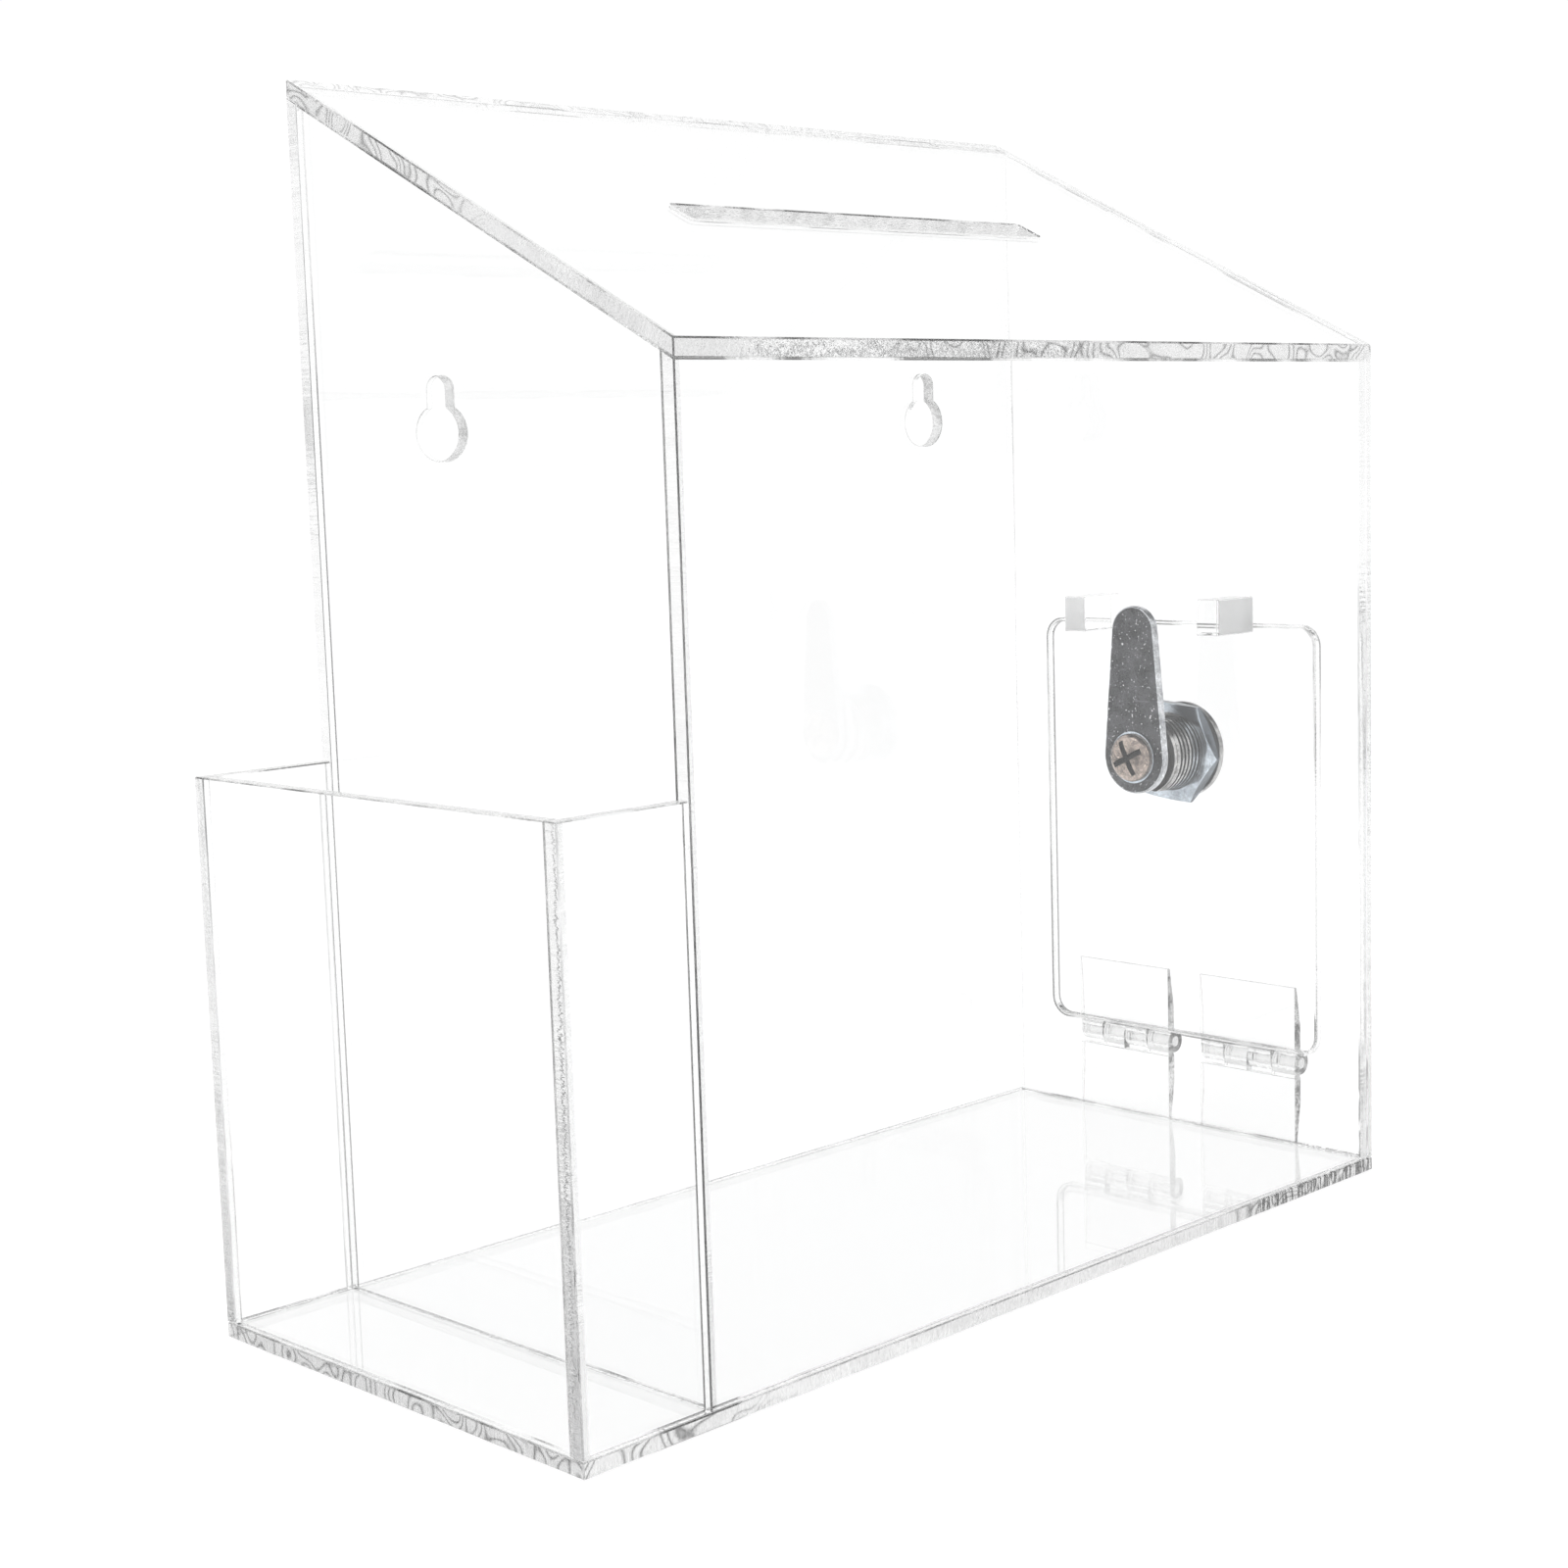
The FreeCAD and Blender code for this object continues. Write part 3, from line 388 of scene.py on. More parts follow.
@dataclass
class Finishes:
    """Every material of the box, made once; `tilt` is the roof's, which its ripples follow."""

    tilt: float

    def __post_init__(self) -> None:
        """Makes the materials."""
        self.face = ClearSheet().material()
        self.make_edges()
        self.sawn = SawnFace().material()
        self.leaf = Moulding("hinge_moulding", 0.94).material()
        # The leaves' rounded edges and ends are painted dark: painted reflection for their outlines, over real
        # shear marks at the ends.
        self.leaf_rim = CutEdge("hinge_rim", shades=(0.1, 0.7), band=(0.3, 0.7),
                                relief=0.1 * MM).material()
        self.leaf_end = CutEdge("hinge_end", shades=(0.0, 0.9), band=(0.4, 0.58),
                                relief=0.3 * MM).material()
        self.pin = Moulding("hinge_pin_rod", 0.72).material()
        self.make_metals()

    def make_edges(self) -> None:
        """Makes the finishes of the sheets' edges, ends and holes."""
        self.edge_across = CutEdge("acrylic_edge_across", (1, 0, 0), shades=(0.94, 1.0)).material()
        self.edge_along = CutEdge("acrylic_edge_along", (0, 1, 0)).material()
        self.edge_flat = CutEdge(
            "acrylic_edge_flat", (0, 0, 1), shades=(0.03, 1.0), rings=0.9,
            clean=(-0.008, FRONT, 0.0), clean_reach=70 * MM).material()
        self.edge_roof = CutEdge(
            "acrylic_edge_roof", (0, 0, 1), self.tilt, (0.12, 1.0), rings=0.9,
            clean=(-0.086, FRONT, 0.18), clean_reach=58 * MM).material()
        # Dark in patches along each chamfer: painted reflection for the thin dark lines that refraction of the
        # surroundings draws along an edge.
        self.rim = CutEdge(
            "acrylic_rim", (0, 0, 1), shades=(0.08, 1.0), band=(0.42, 0.56), relief=0.1 * MM,
            patch=14 * MM, broad=0.85, clean=(0.0, FRONT, 0.0), clean_reach=68 * MM).material()
        # Darker on the keyholes' walls and rims: painted reflection for their dark outlines.
        self.hole = CutEdge("acrylic_hole_wall", shades=(0.15, 0.8), band=(0.35, 0.62),
                            relief=0.2 * MM).material()
        self.glued = CutEdge("acrylic_glued_end", shades=(0.7, 1.0), band=(0.35, 0.44),
                             relief=0.5 * MM).material()
        self.edges = {Facing.ACROSS: self.edge_across, Facing.ALONG: self.edge_along,
                      Facing.FLAT: self.edge_flat}

    def make_metals(self) -> None:
        """Makes the finishes of the lock."""
        self.nickel = Metal("nickel", grey(0.2), (0.9, 0.89, 0.88), (0.1, 0.24)).material()
        # Nickel darkened almost to black: painted shade for the thread valleys, the face under the head, the
        # barrel's tip, the screw's recess and the washer behind the cam.
        self.painted_shade = Metal("nickel_in_the_shade", grey(0.004), (0.05, 0.05, 0.052),
                           (0.2, 0.4)).material()
        self.zinc = Metal("zinc", (0.35, 0.39, 0.44), (0.85, 0.93, 1.0), (0.12, 0.28)).material()
        # A darker copy of the zinc for the nut's six flats: painted shade against its lit chamfers and ends.
        self.zinc_shaded = Metal("zinc_handled", (0.04, 0.05, 0.06), (0.3, 0.34, 0.39),
                               (0.15, 0.3)).material()
        self.steel = Metal("cam_steel", (0.03, 0.031, 0.034), (0.16, 0.165, 0.175), (0.28, 0.45),
                           relief=0.03 * MM, specks=0.9).material()
        # Bright metal for the cam's rounded rims against its dark faces: partly wear, partly a painted highlight
        # along the edge.
        self.wear_and_highlight = Metal("cam_rim", (0.35, 0.36, 0.38), (0.95, 0.97, 1.0), (0.15, 0.3)).material()
        self.screw = Metal("screw_nickel", (0.09, 0.075, 0.068), (0.78, 0.66, 0.58),
                           (0.1, 0.22)).material()
        self.brass = Metal("brass", (0.5, 0.36, 0.14), (0.8, 0.62, 0.3), (0.2, 0.4)).material()
        self.spring = Metal("spring_wire", (0.4, 0.4, 0.41), (0.7, 0.7, 0.71),
                            (0.2, 0.35)).material()


# ---- making pieces


@dataclass(frozen=True)
class Turn:
    """A step of an outline that goes round a centre by an angle in degrees."""

    centre: Point
    degrees: float
    facet: float = 6.0

    def steps(self) -> int:
        """How many straight facets it has."""
        return max(4, round(abs(self.degrees) / self.facet))


class Outline:
    """Closed loops drawn flat, filled between and pulled up into a plate."""

    def __init__(self) -> None:
        """Starts empty."""
        self.bm: BMesh = bmesh.new()

    def corners(self, points: Sequence[Point]) -> "Outline":
        """Adds a polygon with straight sides."""
        spots = [self.bm.verts.new((*point, 0)) for point in points]
        face = self.bm.faces.new(spots)
        bmesh.ops.delete(self.bm, geom=[face], context="FACES_ONLY")
        return self

    def rectangle(self, low: Point, high: Point, corner: float, segments: int = 10) -> "Outline":
        """Adds a rectangle with rounded corners."""
        size = Vector((high[0] - low[0], high[1] - low[1], 1))
        middle = Vector(((high[0] + low[0]) / 2, (high[1] + low[1]) / 2, 0))
        spots = bmesh.ops.create_grid(self.bm, x_segments=1, y_segments=1, size=0.5,
                                      matrix=Matrix.LocRotScale(middle, None, size))["verts"]
        bmesh.ops.bevel(self.bm, geom=spots, offset=corner, segments=segments, profile=0.5,
                        affect="VERTICES", material=-1)
        bmesh.ops.delete(self.bm, geom=self.bm.faces[:], context="FACES_ONLY")
        return self

    def path(self, start: Point, *steps: "Point | Turn") -> "Outline":
        """Adds a closed loop.

        Args:
            start: where the pen starts.
            *steps: points to go straight to, and turns about a centre; the last ends at the start.

        Returns:
            This outline.
        """
        pen = self.bm.verts.new((*start, 0))
        for step in steps:
            if isinstance(step, Turn):
                pen = bmesh.ops.spin(
                    self.bm, geom=[pen], cent=(*step.centre, 0), axis=(0, 0, 1), dvec=(0, 0, 0),
                    angle=math.radians(step.degrees), steps=step.steps(),
                    use_merge=False)["geom_last"][0]
            else:
                pen = bmesh.ops.extrude_vert_indiv(self.bm, verts=[pen])["verts"][0]
                pen.co = (*step, 0)
        return self

    def plate(self, thickness: float) -> BMesh:
        """Fills the loops, pulls the sheet up by its thickness and gives its mesh."""
        bmesh.ops.remove_doubles(self.bm, verts=self.bm.verts[:], dist=MERGE)
        bmesh.ops.triangle_fill(self.bm, use_beauty=True, edges=self.bm.edges[:])
        pulled = bmesh.ops.extrude_face_region(self.bm, geom=self.bm.faces[:],
                                               use_keep_orig=True)["geom"]
        bmesh.ops.translate(self.bm, verts=[g for g in pulled if isinstance(g, BMVert)],
                            vec=(0, 0, thickness))
        close(self.bm)
        return self.bm


def close(bm: BMesh) -> None:
    """Merges doubles and turns every face outwards."""
    bmesh.ops.remove_doubles(bm, verts=bm.verts[:], dist=MERGE)
    bmesh.ops.recalc_face_normals(bm, faces=bm.faces[:])


def round_edges(bm: BMesh, size: float, segments: int = 1, slot: int = 0) -> None:
    """Bevels every edge with a clear turn and gives the new faces a material slot."""
    flat, clear_turn = math.radians(0.5), 0.6
    bmesh.ops.dissolve_limit(bm, angle_limit=flat, verts=bm.verts[:], edges=bm.edges[:])
    rims = [edge for edge in bm.edges if edge.is_manifold and edge.calc_face_angle(0) > clear_turn]
    made = bmesh.ops.bevel(bm, geom=rims, offset=size, segments=segments, profile=0.5,
                           affect="EDGES", material=-1, clamp_overlap=True)
    for face in made["faces"]:
        face.material_index = slot


def trim(bm: BMesh, point: Triple, outwards: Triple) -> None:
    """Cuts off everything beyond a plane and closes the cut."""
    cut = bmesh.ops.bisect_plane(bm, geom=bm.verts[:] + bm.edges[:] + bm.faces[:], plane_co=point,
                                 plane_no=outwards, clear_outer=True)["geom_cut"]
    bmesh.ops.holes_fill(bm, edges=[g for g in cut if isinstance(g, BMEdge)], sides=0)


def lathe(profile: Sequence[Point], centre: Triple, steps: int = 96) -> BMesh:
    """Turns a profile about a line along X.

    Args:
        profile: closed loop of (x, radius) points, counted from the centre.
        centre: a point on the axis.
        steps: facets round the turn.

    Returns:
        The closed mesh.
    """
    bm = bmesh.new()
    spots = [bm.verts.new((x, 0, radius)) for x, radius in profile]
    rings = [bm.edges.new(pair) for pair in zip(spots, spots[1:] + spots[:1])]
    bmesh.ops.spin(bm, geom=spots + rings, cent=(0, 0, 0), axis=(1, 0, 0), dvec=(0, 0, 0),
                   angle=math.tau, steps=steps, use_merge=True)
    bmesh.ops.translate(bm, verts=bm.verts[:], vec=centre)
    close(bm)
    return bm


def link(name: str, data: bpy.types.ID) -> Object:
    """Makes an object of a mesh, a light or a camera and puts it in the scene."""
    made = bpy.data.objects.new(name, data)
    bpy.context.scene.collection.objects.link(made)
    return made


def show(name: str, bm: BMesh) -> Object:
    """Makes an object of a mesh in the row frame, which is used up."""
    mesh = bpy.data.meshes.new(name)
    bm.to_mesh(mesh)
    bm.free()
    return link(name, mesh)


def dress(name: str, bm: BMesh, body: str, stands_for: Sequence[str],
          materials: Sequence[Material], smooth: bool = False) -> Object:
    """Makes a finished piece of a mesh.

    Args:
        name: the piece's name.
        bm: its mesh in the row frame, used up.
        body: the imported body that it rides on.
        stands_for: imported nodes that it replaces.
        materials: its material slots in order.
        smooth: shades curved faces smooth.

    Returns:
        The object.
    """
    crease = math.radians(38)
    piece = show(name, bm)
    for material in materials:
        piece.data.materials.append(material)
    if smooth:
        piece.data.shade_smooth()
        piece.data.set_sharp_from_angle(angle=crease)
        weights = piece.modifiers.new("even_normals", "WEIGHTED_NORMAL")
        weights.keep_sharp = True
    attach(piece, body)
    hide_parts(*stands_for)
    LOG.info("%s: %d faces on %s", name, len(piece.data.polygons), body)
    return piece


def repaint(node: str, material: Material) -> None:
    """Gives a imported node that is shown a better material."""
    slots = frame["nodes"][node].data.materials
    slots.clear()
    slots.append(material)
    LOG.info("%s: kept, in %s", node, material.name)


def carve(piece: Object, cutter: BMesh) -> None:
    """Takes a cutter's shape out of a piece for good."""
    tool = show("cutter", cutter)
    step = piece.modifiers.new("carve", "BOOLEAN")
    step.object, step.operation, step.solver, step.use_self = tool, "DIFFERENCE", "EXACT", True
    piece.modifiers.move(len(piece.modifiers) - 1, 0)
    for other in piece.modifiers[1:]:
        other.show_viewport = False
    graph = bpy.context.evaluated_depsgraph_get()
    carved = bpy.data.meshes.new_from_object(piece.evaluated_get(graph))
    carved.name = piece.data.name
    piece.modifiers.remove(step)
    for other in piece.modifiers:
        other.show_viewport = True
    piece.data = carved
    bpy.data.objects.remove(tool)


# ---- acrylic box


class Coat(IntEnum):
    """Material slots of a sheet."""

    FACE = 0
    EDGE = 1
    RIM = 2
    GLUED = 3
    HOLE = 4
    SLOT = 5


PLAIN_SHEETS = {
    "base_plate": Facing.FLAT, "pocket_outer_panel": Facing.ACROSS,
    "pocket_front_panel": Facing.ALONG, "pocket_back_panel": Facing.ALONG,
    "left_side_panel": Facing.ACROSS, "right_side_panel": Facing.ACROSS}
HOLE_COATS = {"back_panel": {Coat.EDGE: Coat.HOLE, Coat.RIM: Coat.HOLE},
              "roof_panel": {Coat.EDGE: Coat.SLOT}}


@dataclass
class AcrylicBox:
    """The ten sheets of the box and its pocket, a seam smaller so that glued faces stay apart."""

    rise: float = 52 * MM
    sheet: float = 3 * MM
    seam: float = 0.02 * MM
    chamfer: float = 0.26 * MM
    keyhole_entry: float = 5.5 * MM
    keyhole_neck: float = 2.6 * MM
    keyhole_lift: float = 8.4 * MM
    opening_corner: float = 4.5 * MM
    door_gap: float = 0.4 * MM
    slot_half: Point = (50 * MM, 3.5 * MM)
    slot_corner: float = 1 * MM
    barrel: float = 9.1 * MM
    barrel_flat: float = 8.1 * MM
    glued_at_right: tuple[str, ...] = ("pocket_front_panel", "pocket_back_panel")
    hole_margin: float = 8 * MM

    def __post_init__(self) -> None:
        """Works out the roof's line, and makes the finishes."""
        self.roof_low, self.roof_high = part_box("roof_panel")
        self.slope = self.rise / (self.roof_high.y - self.roof_low.y)
        self.tilt = math.atan(self.slope)
        self.roof_normal = Vector((0, -math.sin(self.tilt), math.cos(self.tilt)))
        self.finishes = Finishes(self.tilt)

    def underside(self, y: float) -> float:
        """Height of the roof's underside at a depth."""
        return self.roof_low.z + self.slope * (y - self.roof_low.y)

    def build(self) -> None:
        """Makes the ten sheets."""
        for node, facing in PLAIN_SHEETS.items():
            outline = self.frame_of(node, facing, node.endswith("side_panel"))
            if node == "right_side_panel":
                low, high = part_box("access_door")
                gap = Vector((self.door_gap, self.door_gap))
                outline.rectangle(low.yz - gap, high.yz + gap, self.opening_corner)
            self.finish(self.stand(outline, facing, node), node, facing)
        self.build_wall("front_panel")
        self.build_wall("back_panel")
        self.build_roof()
        self.build_door()

    def frame_of(self, node: str, facing: Facing, sloped: bool) -> Outline:
        """Outline of a node's box, its top cut to the roof's slope where it carries the roof."""
        low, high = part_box(node)
        i, j = facing.spread()
        a0, a1 = low[i] + self.seam, high[i] - self.seam
        b0, b1 = low[j] + self.seam, high[j] - self.seam
        tops = (b1, b1)
        if sloped:
            tops = (self.underside(a0) - self.seam, self.underside(a1) - self.seam)
        return Outline().corners([(a0, b0), (a1, b0), (a1, tops[1]), (a0, tops[0])])

    def stand(self, outline: Outline, facing: Facing, node: str) -> BMesh:
        """Pulls an outline up into a sheet and sets it where its node stands."""
        low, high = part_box(node)
        bm = outline.plate(self.sheet - 2 * self.seam)
        origin = Vector((0, 0, 0))
        if facing is Facing.ACROSS:
            origin.x = low.x + self.seam
        elif facing is Facing.ALONG:
            origin.y = high.y - self.seam
        else:
            origin.z = low.z + self.seam
        bmesh.ops.transform(bm, matrix=facing.matrix(origin), verts=bm.verts[:])
        close(bm)
        return bm

    def finish(self, bm: BMesh, node: str, facing: Facing) -> None:
        """Chamfers a sheet, gives its edges their own finish and puts it in the scene.

        Args:
            bm: the sheet's mesh in the row frame.
            node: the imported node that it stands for.
            facing: which way its faces look, before the roof is tilted.
        """
        roof = node == "roof_panel"
        across = self.roof_normal if roof else Vector(facing.value[2])
        edge = self.finishes.edge_roof if roof else self.finishes.edges[facing]
        body = "door" if node == "access_door" else "case"
        bm.normal_update()
        for face in bm.faces:
            face.material_index = Coat.FACE if abs(face.normal.dot(across)) > ALIGNED else Coat.EDGE
            if node in self.glued_at_right and face.normal.x > ALIGNED:
                face.material_index = Coat.GLUED
        round_edges(bm, self.chamfer, slot=Coat.RIM)
        self.coat_holes(bm, node)
        dress(f"sheet_{node}", bm, body, [node],
              [self.finishes.face, edge, self.finishes.rim, self.finishes.glued,
               self.finishes.hole, self.finishes.edge_across])

    def coat_holes(self, bm: BMesh, node: str) -> None:
        """Gives the walls of a sheet's holes, which lie well inside it, their own finish."""
        coats, margin = HOLE_COATS.get(node, {}), self.hole_margin
        low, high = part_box(node)
        for face in bm.faces:
            spot = face.calc_center_median()
            if all(low[i] + margin < spot[i] < high[i] - margin for i in (0, 2)):
                face.material_index = coats.get(face.material_index, face.material_index)

    def build_wall(self, node: str) -> None:
        """Front or back wall, its top cut to the slope; the back one has the keyholes."""
        outline = self.frame_of(node, Facing.ALONG, False)
        if node == "back_panel":
            for mount in frame["record"]["mounts"]:
                if mount["name"].startswith("keyhole"):
                    self.keyhole(outline, mount["pos_m"][0], mount["pos_m"][2])
        bm = self.stand(outline, Facing.ALONG, node)
        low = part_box(node)[0]
        trim(bm, (0, low.y, self.underside(low.y) - self.seam), self.roof_normal)
        close(bm)
        self.finish(bm, node, Facing.ALONG)

    def keyhole(self, outline: Outline, x: float, z: float) -> None:
        """Adds a round entry with a narrower neck above it."""
        foot = math.sqrt(self.keyhole_entry ** 2 - self.keyhole_neck ** 2)
        half = math.degrees(math.asin(self.keyhole_neck / self.keyhole_entry))
        top = z + self.keyhole_lift
        outline.path((x + self.keyhole_neck, z + foot), (x + self.keyhole_neck, top),
                     Turn((x, top), 180), (x - self.keyhole_neck, z + foot),
                     Turn((x, z), 360 - 2 * half))

    def build_roof(self) -> None:
        """The slotted roof, drawn flat, tilted, and cut upright at its front and back edges."""
        low, high = self.roof_low, self.roof_high
        left, right = low.x + self.seam, high.x - self.seam
        length = math.hypot(high.y - low.y, self.rise)
        spare = 2 * self.sheet
        outline = Outline().corners([(left, -spare), (right, -spare), (right, length + spare),
                                     (left, length + spare)])
        middle = Vector(((low.x + high.x) / 2, length / 2))
        outline.rectangle(middle - Vector(self.slot_half), middle + Vector(self.slot_half),
                          self.slot_corner, 4)
        bm = outline.plate(self.sheet - 2 * self.seam)
        bmesh.ops.translate(bm, verts=bm.verts[:], vec=(0, 0, self.seam - self.sheet))
        front_top = (0, low.y, high.z - self.rise)
        bmesh.ops.transform(bm, matrix=Facing.FLAT.matrix(front_top, self.tilt), verts=bm.verts[:])
        trim(bm, (0, low.y + self.seam, 0), (0, -1, 0))
        trim(bm, (0, high.y - self.seam, 0), (0, 1, 0))
        close(bm)
        self.finish(bm, "roof_panel", Facing.FLAT)

    def build_door(self) -> None:
        """The door, with the double-D hole of the lock."""
        low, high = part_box("access_door")
        y, z = lock_centre().yz
        outline = Outline().rectangle(low.yz, high.yz, self.opening_corner - self.door_gap)
        reach = math.sqrt(self.barrel ** 2 - self.barrel_flat ** 2)
        round_side = Turn((y, z), 2 * math.degrees(math.atan2(self.barrel_flat, reach)))
        start = (y + reach, z - self.barrel_flat)
        outline.path(start, round_side, (y - reach, z + self.barrel_flat), round_side, start)
        bm = self.stand(outline, Facing.ACROSS, "access_door")
        self.finish(bm, "access_door", Facing.ACROSS)


@dataclass
class DoorStops:
    """Two sawn blocks over the opening that keep the door from swinging in."""

    finishes: Finishes
    chamfer: float = 0.2 * MM
    shrink: float = 0.02 * MM

    def build(self) -> None:
        """Makes both blocks; the front one shows its sawn side and the rear one its sawn end."""
        for node, sawn in (("door_stop_front", (0, -1, 0)), ("door_stop_rear", (-1, 0, 0))):
            low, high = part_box(node)
            bm = bmesh.new()
            size = high - low - Vector((2 * self.shrink,) * 3)
            bmesh.ops.create_cube(bm, size=1,
                                  matrix=Matrix.LocRotScale((low + high) / 2, None, size))
            bm.normal_update()
            for face in bm.faces:
                face.material_index = 1 if face.normal.dot(Vector(sawn)) > ALIGNED else 0
            round_edges(bm, self.chamfer, 2)
            dress(f"block_{node}", bm, "case", [node],
                  [self.finishes.face, self.finishes.sawn])


# ---- hinges


@dataclass
class Hinges:
    """Two moulded butt hinges, outside, under the door."""

    finishes: Finishes
    softening: float = 0.12 * MM
    loose_ends: float = 0.001 * MM
    slivers: float = 0.002 * MM
    pin_fit: float = 0.98
    pin_rounding: float = 0.25 * MM

    def build(self) -> None:
        """Makes the four leaves and two pins."""
        for place in ("front", "rear"):
            for half, body in (("door", "door"), ("wall", "case")):
                self.build_leaf(f"hinge_{place}_{half}_leaf", body)
            self.build_pin(f"hinge_{place}_pin")

    def build_leaf(self, node: str, body: str) -> None:
        """A leaf with its knuckles: the node's own shape, merged, with its edges softened."""
        bm = bmesh.new()
        bm.from_mesh(frame["nodes"][node].data)
        bmesh.ops.remove_doubles(bm, verts=bm.verts[:], dist=self.loose_ends)
        close(bm)
        for face in bm.faces:
            face.material_index = 2 if abs(face.normal.y) > ALIGNED else 0
        round_edges(bm, self.softening, 2, slot=1)
        bmesh.ops.dissolve_degenerate(bm, dist=self.slivers, edges=bm.edges[:])
        dress(f"moulded_{node}", bm, body, [node],
              [self.finishes.leaf, self.finishes.leaf_rim, self.finishes.leaf_end], smooth=True)

    def build_pin(self, node: str) -> None:
        """A pin with rounded ends."""
        low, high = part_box(node)
        radius = (high.x - low.x) / 2 * self.pin_fit
        bm = bmesh.new()
        bmesh.ops.create_cone(
            bm, cap_ends=True, segments=32, radius1=radius, radius2=radius, depth=high.y - low.y,
            matrix=Matrix.Translation((low + high) / 2) @ Matrix.Rotation(math.pi / 2, 4, "X"))
        round_edges(bm, self.pin_rounding, 3)
        dress(f"rod_{node}", bm, "case", [node], [self.finishes.pin], smooth=True)


# ---- cam lock


def lock_centre() -> Vector:
    """Where the lock's axis meets the door's outer face."""
    return Vector(next(j["pos_m"] for j in frame["joints"] if j["name"] == "lock_turn"))


@dataclass
class CamLock:
    """Threaded housing, nut, cam, washer and screw, drawn from the door's outer face along X."""

    finishes: Finishes
    bore: float = 6 * MM
    barrel: float = 9 * MM
    flat: float = 8 * MM
    barrel_length: float = 16 * MM
    thread_start: float = 3.05 * MM
    thread_pitch: float = 1.3 * MM
    thread_depth: float = 0.6 * MM
    # Depth below the crest from which a thread's faces are painted in shade.
    valley: float = 0.1 * MM
    collar: float = 2.2 * MM
    collar_step: Point = (0.15 * MM, 0.35 * MM)
    tip: Point = (0.8 * MM, 1.1 * MM)
    shaded_tip: float = 0.4 * MM
    head: float = 11 * MM
    rim: float = 1.2 * MM
    rim_break: float = 0.2 * MM
    seat: float = 0.001 * MM
    head_height: float = 2.8 * MM
    recess: float = 7.2 * MM
    recess_depth: float = 1.4 * MM
    nut_flats: float = 11 * MM
    nut_blank: float = 11.4 * MM
    nut_crown: float = 0.6 * MM
    nut_turn: float = 6.0
    nut_slope: float = 30.0
    cam_hub: float = 8.3 * MM
    cam_tip: float = 5.8 * MM
    cam_reach: float = 28.2 * MM
    cam_hole: float = 3.75 * MM
    cam_rounding: float = 0.35 * MM
    washer_bore: float = 2.2 * MM
    washer_rounding: float = 0.12 * MM
    pivot: float = 0.01 * MM
    screw_dome: Sequence[Point] = ((0.05, 0.45), (0.22, 0.66), (0.55, 0.84), (1.0, 0.95),
                                   (1.5, 1.0))
    screw_break: float = 0.15 * MM
    screw_shank: float = 2 * MM
    screw_turn: float = -26.0
    cross_size: Triple = (1.15 * MM, 7.6 * MM, 3.0 * MM)
    cross_taper: float = 0.55
    cross_sink: float = 0.4 * MM

    def build(self) -> None:
        """Makes the lock's pieces and repaints those that are shown as they are."""
        self.centre = lock_centre()
        self.build_housing()
        self.build_nut()
        self.build_cam()
        self.build_washer()
        self.build_screw()
        repaint("lock_plug", self.finishes.nickel)
        repaint("lock_wafers", self.finishes.brass)
        repaint("wafer_springs", self.finishes.spring)
        # The washer behind the cam is painted near black: painted shade in the gap between cam and barrel.
        repaint("stop_washer", self.finishes.painted_shade)

    def span(self, node: str) -> tuple[float, float, float]:
        """Where a round node starts and ends along X, counted from the centre, and its radius."""
        low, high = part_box(node)
        return low.x - self.centre.x, high.x - self.centre.x, (high.z - low.z) / 2

    def build_housing(self) -> None:
        """Head and threaded barrel, with a flat above and below."""
        start, end = -self.thread_start, -self.barrel_length
        profile = self.head_profile() + [(start, self.barrel)]
        turns = int((self.barrel_length - self.collar + start) / self.thread_pitch)
        crest, root = self.barrel, self.barrel - self.thread_depth
        for turn in range(turns):
            x = start - turn * self.thread_pitch
            for share, radius in ((0.4, crest), (0.58, root), (0.72, root), (0.9, crest)):
                profile.append((x - share * self.thread_pitch, radius))
        step, drop = self.collar_step
        length, taper = self.tip
        profile += [(end + self.collar, crest), (end + self.collar - step, crest - drop),
                    (end + length, crest - drop), (end, crest - taper), (end, self.bore)]
        bm = lathe(profile, self.centre)
        bm.normal_update()
        # Slot 1 is painted shade. It covers the thread valleys, the face under the head and the tip.
        for face in bm.faces:
            spot = face.calc_center_median() - self.centre
            radius = math.hypot(spot.y, spot.z)
            in_thread = end + self.collar < spot.x < start and radius < self.barrel - self.valley
            under_head = face.normal.x < -MOSTLY and radius > self.barrel
            at_tip = spot.x < end + self.shaded_tip
            face.material_index = 1 if in_thread or under_head or at_tip else 0
        self.cut_flats(bm)
        dress("lock_barrel_and_head", bm, "door", ["lock_housing"],
              [self.finishes.nickel, self.finishes.painted_shade], smooth=True)

    def head_profile(self) -> list[Point]:
        """The head from its recess to the door's face."""
        floor, top, edge = self.head_height - self.recess_depth, self.head_height, self.rim_break
        return [(floor, self.bore), (floor, self.recess), (top, self.recess),
                (top, self.head - top + self.rim), (self.rim, self.head), (edge, self.head),
                (0, self.head - edge), (0, self.barrel)]

    def cut_flats(self, bm: BMesh) -> None:
        """Cuts the two flats along the barrel and leaves the head whole."""
        behind = self.centre.x - self.seat
        for side in (1, -1):
            for vertex in bm.verts:
                if vertex.co.x < behind and side * (vertex.co.z - self.centre.z) > self.flat:
                    vertex.co.z = self.centre.z + side * self.flat

